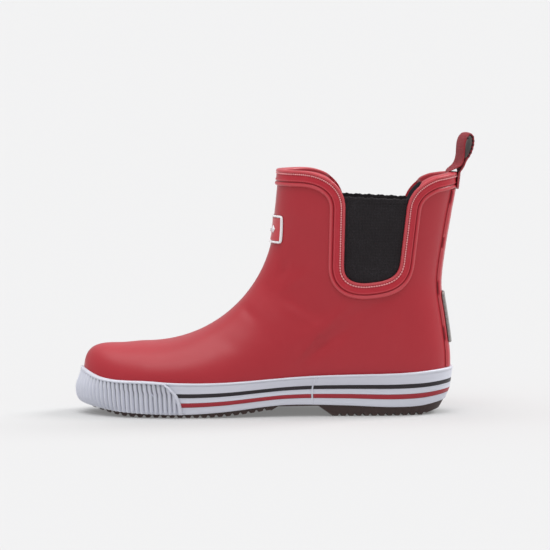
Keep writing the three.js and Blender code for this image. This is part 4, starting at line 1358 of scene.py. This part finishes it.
index, across, out = strap_rings(0, STRAP_STEPS, STRAP_WIDTH / 2, -STRAP_THICK / 2, STRAP_THICK / 2)
ridge = 0.035 * np.cos(strap_run[index] * 2 * math.pi / 1.6) * (np.abs(across) < 7.4)
strap = make_bar(
    "pull_strap", on_strap(index, across, out + ridge * np.sign(out)), webbing, body=None, smooth=50,
    nodes=("pull_loop", "loop_tail_outer", "loop_tail_inner"), slot="webbing", uv=strap_uv(index, across),
)
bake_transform(strap)

loop_part = np.nonzero(strap_line[:, 1] > 152.0)[0]
tape_first, tape_last = int(strap_top) - 46, int(loop_part[-1])
index, across, out = strap_rings(tape_first, tape_last, 6.4, -1.25, -0.68)
make_bar(
    "loop_tape", on_strap(index, across, out), reflective, body="pull_loop", smooth=50,
    nodes=("loop_reflector",), slot="reflective", uv=strap_uv(index, across),
)


def dashes(name, edge, out, pitch, length, thick, finish, slot):
    """A row of small closed pods along the strap, one for each stitch: half a sine along, round across."""
    rows, columns = 7, 6
    centres = np.arange(strap_run[strap_top] - 3, strap_run[loop_part[-1]] - 1, pitch)
    along = np.linspace(-0.5, 0.5, rows)
    swell = np.sqrt(np.clip(1 - (along * 1.9) ** 2, 0.02, 1))
    turn = np.linspace(0, 2 * math.pi, columns, endpoint=False)
    cap = np.array([[0, 1, 2, 3], [0, 3, 4, 5]])
    pod = np.vstack([quads(rows, columns, False, True), cap[:, ::-1], cap + (rows - 1) * columns])
    points, faces = [], []
    for k, centre in enumerate(centres):
        index = np.clip(np.searchsorted(strap_run, centre + along * length), 0, STRAP_STEPS - 1)[:, None]
        aside, beyond = np.cos(turn) * thick * swell[:, None], np.sin(turn) * thick * swell[:, None]
        points.append(on_strap(index, edge + aside, out + beyond).reshape(-1, 3))
        faces.append(pod + k * rows * columns)
    points, faces = np.vstack(points), np.vstack(faces)
    return make_piece(name, points, faces, finish, body="pull_loop", smooth=60, slot=slot)


dashes("loop_edge_thread_near", -7.75, 0.15, 2.5, 1.7, 0.42, thread_white, "webbing")
dashes("loop_dark_thread_near", -7.7, -0.55, 2.5, 1.5, 0.4, elastic, "webbing")

# %% [markdown]
# ## Sole unit
# A white strip, the foxing, is wrapped round the foot over the joint between upper and sole. It has two
# inlaid coloured lines, and its ends meet on the inner side of the foot. A ribbed bumper goes over it at
# the toe, and the brown outsole closes the boot from below. They all follow the plan outline of the upper,
# which is found by halving the distance from a hub until the edge of the form is reached.

# %% Plan outline
HUB_X, WALL_RISE, REF_Z = -5, 8, 18
FOXING, BUMPER, HEEL_LEAN, LEAN_Z = 2.1, 2.2, 0.4, 16
TOE_LEAN, TOE_LEAN_Z, TOE_TAPER = 0.0048, 15, 0.6
FAR = GAP + FOXING


def inside(x, y, z):
    """Whether a point is inside the form: |y| under the half width times (1 - u^n)^(1/n)."""
    s = station(x, z)
    along, length, half, shift = slice_side(np.clip(s, TOE_STATION, LAST_STATION), x, z)
    return (np.abs(y - shift) < half) & (s > TOE_STATION) & (along > 0) & (along < length)


def outline(turn, z):
    """Plan outline of the form at height z in the direction of turn from the hub, by bisection."""
    turn, z = np.broadcast_arrays(np.asarray(turn, float), np.asarray(z, float))
    c, n = np.cos(turn), np.sin(turn)
    low, high = np.zeros(turn.shape), np.full(turn.shape, 200.0)
    for _ in range(24):
        r = (low + high) / 2
        hit = inside(HUB_X + r * c, r * n, z)
        low, high = np.where(hit, r, low), np.where(hit, high, r)
    return HUB_X + low * c, low * n


fine_turns = np.linspace(-math.pi, math.pi, 1441)[:-1]
ref_x, ref_y = outline(fine_turns, REF_Z)
fine_turns_wrapped = np.append(fine_turns, math.pi)
ref_x_wrapped = np.append(ref_x, ref_x[0])
wall_run, wall_length = along_path(np.stack([ref_x, ref_y], axis=-1), True)


def ref_at(turn):
    """x of the reference outline, for a direction."""
    return np.interp((turn + math.pi) % (2 * math.pi) - math.pi, fine_turns_wrapped, ref_x_wrapped)


def wall(turn, z, out):
    """A point beside the wall: the outline, straight down near the sole, leaning in at the heel and curling
    in at the toe by a cube of the depth; at the toe the layers also thin out towards their top."""
    turn, z, out = np.broadcast_arrays(np.asarray(turn, float), np.asarray(z, float), np.asarray(out, float))
    height = np.maximum(z, sole_z(ref_at(turn)) + WALL_RISE)
    x, y = outline(turn, height)
    ax, ay = outline(turn + 0.012, height)
    bx, by = outline(turn - 0.012, height)
    size = np.hypot(ax - bx, ay - by)
    tx, ty = (ax - bx) / size, (ay - by) / size
    at_heel = HEEL_LEAN * np.maximum(LEAN_Z - z, 0) * ramp(x, 60, 102)
    at_tip = 1 - ramp(x, TOE_X, TOE_X + 30)
    at_toe = np.minimum(TOE_LEAN * np.maximum(TOE_LEAN_Z - z, 0) ** 3, 8) * at_tip
    reach = out * (1 - TOE_TAPER * ramp(z, 15, 27) * at_tip) - at_heel - at_toe
    return np.stack([x + ty * reach, y - tx * reach, z], axis=-1)


def turns_evenly(count, start=0.0, end=1.0, closed=True):
    """Directions at equal steps along the outline, as shares of its length from the toe's tip."""
    share = np.linspace(start, end, count, endpoint=not closed)
    return np.interp(share * wall_length, wall_run, fine_turns_wrapped)


JOINT_TURN = -math.atan2(33, 27.4 - HUB_X)
joint_run = float(np.interp(JOINT_TURN, fine_turns_wrapped, wall_run))
print("wall outline", round(wall_length, 1), "mm, joint at", round(joint_run, 1))

# %% Foxing and its stripes
RED_STRIPE, BLACK_STRIPE = (0.225, 0.37), (0.53, 0.66)


def strip_ring(profile, turn):
    """A closed profile of [share of the foxing's height, distance out] at each direction."""
    x = ref_at(turn)[:, None]
    share, out = profile[..., 0], profile[..., 1]
    z = foxing_low(x) + (foxing_top(x) - foxing_low(x)) * share
    return wall(turn[:, None] + 0 * z, z, out + 0 * z)


def from_joint(turn):
    """Signed distance along the outline from the joint of the foxing."""
    return np.interp(turn, fine_turns_wrapped, wall_run) - joint_run


def groove(low, high, depth):
    """A groove with rolled lips in the face of the strip."""
    return [
        (low - 0.022, FAR), (low - 0.008, FAR + 0.1), (low, FAR - 0.05), (low, FAR - depth),
        (high, FAR - depth), (high, FAR - 0.05), (high + 0.008, FAR + 0.1), (high + 0.022, FAR),
    ]


foxing_turns = np.unique(np.concatenate([
    turns_evenly(760), np.interp(joint_run + np.linspace(-2, 2, 41), wall_run, fine_turns_wrapped)
]))
near_joint = from_joint(foxing_turns)
foxing_profile = np.array(
    [(0.0, 0.12), (-0.005, 1.2), (0.0, 2.0), (0.012, 2.3), (0.04, FAR), (0.12, FAR + 0.03)]
    + groove(*RED_STRIPE, 0.85) + [(0.45, FAR + 0.02)] + groove(*BLACK_STRIPE, 0.85)
    + [(0.78, FAR + 0.03), (0.885, FAR - 0.02), (0.915, FAR - 0.1), (0.935, FAR + 0.22), (0.955, FAR + 0.42),
       (0.98, FAR + 0.36), (1.0, FAR - 0.05), (1.006, FAR - 0.7), (1.0, 1.0), (0.995, 0.12)]
)
rows = np.broadcast_to(foxing_profile, (len(foxing_turns), len(foxing_profile), 2)).copy()
ridge = 0.3 * np.exp(-((near_joint / 0.6) ** 2)) - 0.2 * np.exp(-(((near_joint - 1.1) / 0.4) ** 2))
in_groove = (rows[..., 1] < FAR - 0.5) & (rows[..., 0] > 0.1) & (rows[..., 0] < 0.8)
fill = np.exp(-((near_joint / 0.7) ** 4))[:, None]
rows[..., 1] = np.where(in_groove, rows[..., 1] + fill * (FAR - rows[..., 1]), rows[..., 1])
rows[..., 1] += np.where(rows[..., 1] > 1.9, 1, 0) * ridge[:, None]
make_ring(
    "foxing_strip", strip_ring(rows, foxing_turns), pale_rubber, smooth=50, nodes=("foxing",),
    slot="pale_rubber",
)

STRIPE_STEPS, STRIPE_END = 720, 0.75
stripe_run = np.linspace(STRIPE_END, wall_length - STRIPE_END, STRIPE_STEPS) + joint_run
stripe_turns = np.interp(stripe_run % wall_length, wall_run, fine_turns_wrapped)


def stripe(name, limits, finish, node, slot):
    """An inlaid line: a slightly domed bar that lies in its groove."""
    low, high = limits[0] + 0.006, limits[1] - 0.006
    bed, top = FAR - 0.6, FAR + 0.1
    shape = [
        (low, bed), (low, top - 0.2), (low + 0.012, top - 0.04), ((low + high) / 2, top),
        (high - 0.012, top - 0.04), (high, top - 0.2), (high, bed), ((low + high) / 2, bed),
    ]
    rings = strip_ring(np.broadcast_to(np.array(shape), (STRIPE_STEPS, len(shape), 2)), stripe_turns)
    make_bar(name, rings, finish, smooth=50, nodes=(node,), slot=slot)


stripe("red_line", RED_STRIPE, red_line, "red_stripe", "red_stripe")
stripe("black_line", BLACK_STRIPE, black_line, "black_stripe", "black_rubber")

# %% Ribbed toe bumper
BUMPER_END_X = -54.5
bumper_end = bezier(
    (BUMPER_END_X, -5), (BUMPER_END_X, 8), (BUMPER_END_X - 2, 16.6), (BUMPER_END_X - 12, 21.6), 80
)
end_share = (bumper_end[:, 1] - foxing_low(bumper_end[:, 0])) / (
    foxing_top(bumper_end[:, 0]) - foxing_low(bumper_end[:, 0])
)
RIB_PITCH, RIB_DEPTH, RIB_SLANT = 2.75, 1.75, 0.9


def bumper_rings(columns=1000):
    """Each row of the profile ends on the curve where the bumper stops; ribs are a cosine of arc length."""
    inner, outer = FAR + 0.42, FAR + GAP + BUMPER
    rise = np.linspace(0.07, 0.915, 21)
    face = [(share, outer - 0.3 + 0.3 * math.sin(math.pi * share)) for share in rise]
    top = [(0.932, outer - 0.45), (0.948, outer - 0.02), (0.97, outer + 0.02), (0.99, outer - 0.3),
           (1.004, outer - 0.9), (1.008, outer - 1.6), (1.0, inner + 0.1), (0.9, inner), (0.5, inner),
           (0.1, inner)]
    low = [(0.02, inner + 0.3), (0.0, outer - 1.2), (0.025, outer - 0.55)]
    profile = np.array(low + face + top)
    share, out = profile[:, 0], profile[:, 1]
    end_x = np.interp(share, end_share, bumper_end[:, 0])
    medial = fine_turns < 0
    order = np.argsort(ref_x[medial])
    inner_turn = np.interp(end_x, ref_x[medial][order], fine_turns[medial][order])
    order = np.argsort(ref_x[~medial])
    outer_turn = np.interp(end_x, ref_x[~medial][order], fine_turns[~medial][order])
    run_a = np.interp(inner_turn, fine_turns_wrapped, wall_run)
    run_b = np.interp(outer_turn, fine_turns_wrapped, wall_run) - wall_length
    part = np.linspace(0, 1, columns)[:, None]
    part = part + 0.0 * share[None, :]
    run = run_b + (run_a - run_b) * part
    turn = np.interp(run % wall_length, wall_run, fine_turns_wrapped)
    to_end = np.minimum(run - run_b, run_a - run)
    x = ref_at(turn)
    z = foxing_low(x) + (foxing_top(x) - foxing_low(x)) * share
    slanted = run - np.where(run > 0, RIB_SLANT, -RIB_SLANT) * (1 - share)
    wave = 0.5 + 0.5 * np.cos(2 * math.pi * slanted / RIB_PITCH)
    ribbed = ((share > -0.05) & (share < 0.925)) * ramp(to_end, 1.6, 2.6)
    valley = RIB_DEPTH * (1 - wave**0.75) * ribbed
    round_end = 1 - rolled(to_end, 1.3)
    out = out - np.where(out > inner + 0.2, valley, 0)
    out = inner + (out - inner) * (1 - round_end * 0.82)
    return wall(turn, z, out)


make_bar(
    "ribbed_bumper", bumper_rings(), pale_rubber, smooth=55, nodes=("toe_bumper",), slot="white_rubber"
)

# %% [markdown]
# ## Outsole
# The brown sole is one moulded slab with bars across it. It is worked out as slices across the boot: each
# slice is a closed ring that runs under the sole and back over it, and the slices are placed closer
# together than the bars, so the bars are real steps. The slices bow forward a little, as the bars do.

# %% Tread
LUG_PITCH, LUG_DEPTH, HEEL_BREAST_X, ARCH_X, HEEL_LUGS_END = 4.75, 1.3, 31, -2, 90
tread = through(
    (TOE_X - 6, 6), (-108, 4), (-100, 2.2), (-88, 0.5), (-78, 0), (-40, 0), (-26, 0.8), (-14, 2.2),
    (ARCH_X, 4),
)


def tread_height(x):
    """Height of the underside: bars at the tread line with gaps between them, and a thin arch."""
    ground = np.maximum(tread(x), 0)
    phase = ((x - TOE_X) / LUG_PITCH) % 1
    bar = ramp(phase, 0.02, 0.2) * (1 - ramp(phase, 0.62, 0.82))
    front = ground + LUG_DEPTH * (1 - bar)
    heel_pitch = (HEEL_LUGS_END - HEEL_BREAST_X - 4) / round((HEEL_LUGS_END - HEEL_BREAST_X) / LUG_PITCH)
    phase = ((x - HEEL_BREAST_X - 4) / heel_pitch) % 1
    bar = ramp(phase, 0.0, 0.16) * (1 - ramp(phase, 0.6, 0.8))
    heel = LUG_DEPTH * (1 - bar)
    rear = np.interp(x, [HEEL_LUGS_END, HEEL_LUGS_END + 0.6, 98, 101.5, 120], [LUG_DEPTH, 0.9, 3.2, 6, 8.4])
    heel = np.where(x > HEEL_LUGS_END, rear, heel)
    arch = foxing_low(10) - 1.2
    rise = np.interp(x, [HEEL_BREAST_X - 4.5, HEEL_BREAST_X + 4], [arch, 0])
    heel = np.where(x < HEEL_BREAST_X + 4, rise, heel)
    front = np.where(x > ARCH_X, np.minimum(arch, 3.4 + (x - ARCH_X) * 0.6), front)
    return np.where(x > 12, np.minimum(heel, arch), front)


def plan(height, out):
    """Outline at a height: its two ends in x, and y on the inner and on the outer side as functions of x."""
    turn = turns_evenly(900)
    points = wall(turn, height(ref_at(turn)), out)
    on_inner = points[:, 1] < 0

    def half_outline(side):
        side = side[np.argsort(side[:, 0])]
        return lambda x: np.interp(x, side[:, 0], side[:, 1])

    ends = points[:, 0].min(), points[:, 0].max()
    return *ends, half_outline(points[on_inner]), half_outline(points[~on_inner])


def outsole_slices(columns=640, under=26):
    """Closed rings across the boot, narrow at toe and heel, from the tread up to the seat of the foxing."""

    def seat(x):
        return foxing_low(x) + 0.9

    upper_first, upper_last, upper_in, upper_out = plan(seat, FAR - 0.6)
    lower_first, lower_last, lower_in, lower_out = plan(lambda x: np.maximum(tread(x), 0) + 0 * x, FAR - 1.2)
    u = np.linspace(0, 1, columns)
    u = np.clip(u - 0.018 * np.sin(2 * math.pi * u) * 0.6, 0, 1)[:, None]
    u = 0.0015 + 0.997 * u
    v = np.linspace(-1, 1, under)[None, :]
    low_x = lower_first + (lower_last - lower_first) * u
    y_in, y_out = lower_in(low_x), lower_out(low_x)
    y = (y_in + y_out) / 2 + (y_out - y_in) / 2 * v
    fade = ramp(low_x, lower_first, lower_first + 25) * (1 - ramp(low_x, lower_last - 25, lower_last))
    x = low_x - 2.2 * (1 - v**2) * fade
    z = tread_height(low_x + 0 * v)
    edge_soft = 0.5 * ramp(np.abs(v), 0.965, 1.0)
    bottom = np.stack([x, y, np.minimum(z + edge_soft, seat(x) - 0.3)], axis=-1)
    high_x = upper_first + (upper_last - upper_first) * u
    side_share = np.array([0.12, 0.45, 0.8, 1.0])[None, :]
    z_edge = bottom[:, -1:, 2]

    def side(low_y, high_y):
        lower = np.stack([low_x[:, 0], low_y[:, 0], z_edge[:, 0]], axis=-1)[:, None, :]
        high = np.stack([high_x[:, 0], high_y[:, 0], seat(high_x)[:, 0]], axis=-1)[:, None, :]
        return lower + (high - lower) * side_share[..., None]

    rise_out, rise_in = side(y_out, upper_out(high_x)), side(y_in, upper_in(high_x))[:, ::-1]
    w = np.linspace(0.9, -0.9, under - 2)[None, :]
    h_in, h_out = upper_in(high_x), upper_out(high_x)
    top = np.stack([
        high_x + 0 * w, (h_in + h_out) / 2 + (h_out - h_in) / 2 * w,
        np.maximum(sole_z(high_x) - 0.35, seat(high_x)) + 0 * w,
    ], axis=-1)
    return np.concatenate([bottom, rise_out, top, rise_in], axis=1)


make_bar(
    "tread_slab", outsole_slices(), brown_rubber, smooth=35, nodes=("outsole",), slot="brown_rubber"
)

# %% [markdown]
# ## Footbed and the hidden layers
# The footbed is a soft foam sole that lifts out. It is a closed pad, crowned a little at its middle and
# cupped at its rim. The midsole filler, the insole board, the toe puff and the heel counter are hidden, and
# the frame's solids already have their shape, so they only get a finish.


# %% Footbed
def footbed_pad(columns=200, rows=22):
    """A pad in polar form about a line of hubs: its rim is the outline moved in; its middles stay open."""
    turn = turns_evenly(columns)
    inset = UPPER_WALL + STIFFENER + LINING + 3 * GAP + 1.2
    rim = wall(turn, np.full(columns, 17.0), -inset)[:, :2]
    foot = wall(turn, np.full(columns, 17.0), -inset - 4.0)[:, :2]
    hub = np.stack([np.clip(rim[:, 0], -70, 62), 0 * turn + 1.0], axis=-1)
    share = np.linspace(0.02, 1, rows) ** 0.8

    def face(edge, height):
        flat = hub[:, None] + (edge[:, None] - hub[:, None]) * share[None, :, None]
        return np.concatenate([flat, height(flat[..., 0], share[None, :])[..., None]], axis=-1)

    def crowned(x, r):
        bell = 0.25 * np.exp(-(((x + 15) / 22) ** 2))
        return sole_z(x) + 8.75 + 0.4 * r**6 - 0.5 * ramp(r, 0.965, 1.0) + bell

    top = face(rim, crowned)
    under = face(foot, lambda x, r: sole_z(x) + 5.25 + 0.9 * r**8)
    middle = np.concatenate([rim + (foot - rim) * 0.25, (sole_z(rim[:, 0]) + 7.0)[:, None]], axis=-1)[:, None]
    return np.concatenate([top, middle, under[:, ::-1]], axis=1)


rings = footbed_pad()
columns, rows = rings.shape[:2]
top_cap, under_cap = np.arange(columns) * rows, np.arange(columns) * rows + rows - 1
grid = quads(columns, rows, True, False)


def zipped(ring):
    """A long hole closed by cells across it, from one end to the other."""
    n = len(ring)
    k = np.arange(n // 2 - 1)
    return np.stack([ring[k], ring[k + 1], ring[n - 2 - k], ring[n - 1 - k]], axis=-1)


faces = np.vstack([grid, zipped(top_cap), zipped(under_cap)[:, ::-1]])
pad = make_piece(
    "foam_footbed", rings.reshape(-1, 3), faces, foam, body="footbed", smooth=60, nodes=("footbed",),
    slot="footbed_foam",
)

for node, finish in (
    ("midsole_filler", felt), ("insole_board", board_finish), ("toe_puff", stiffener_finish),
    ("heel_counter", stiffener_finish),
):
    for place in frame["nodes"][node].material_slots:
        place.material = finish

# %% Sizes and finish
visual_box = box_as_lists()
print("visual box", visual_box)
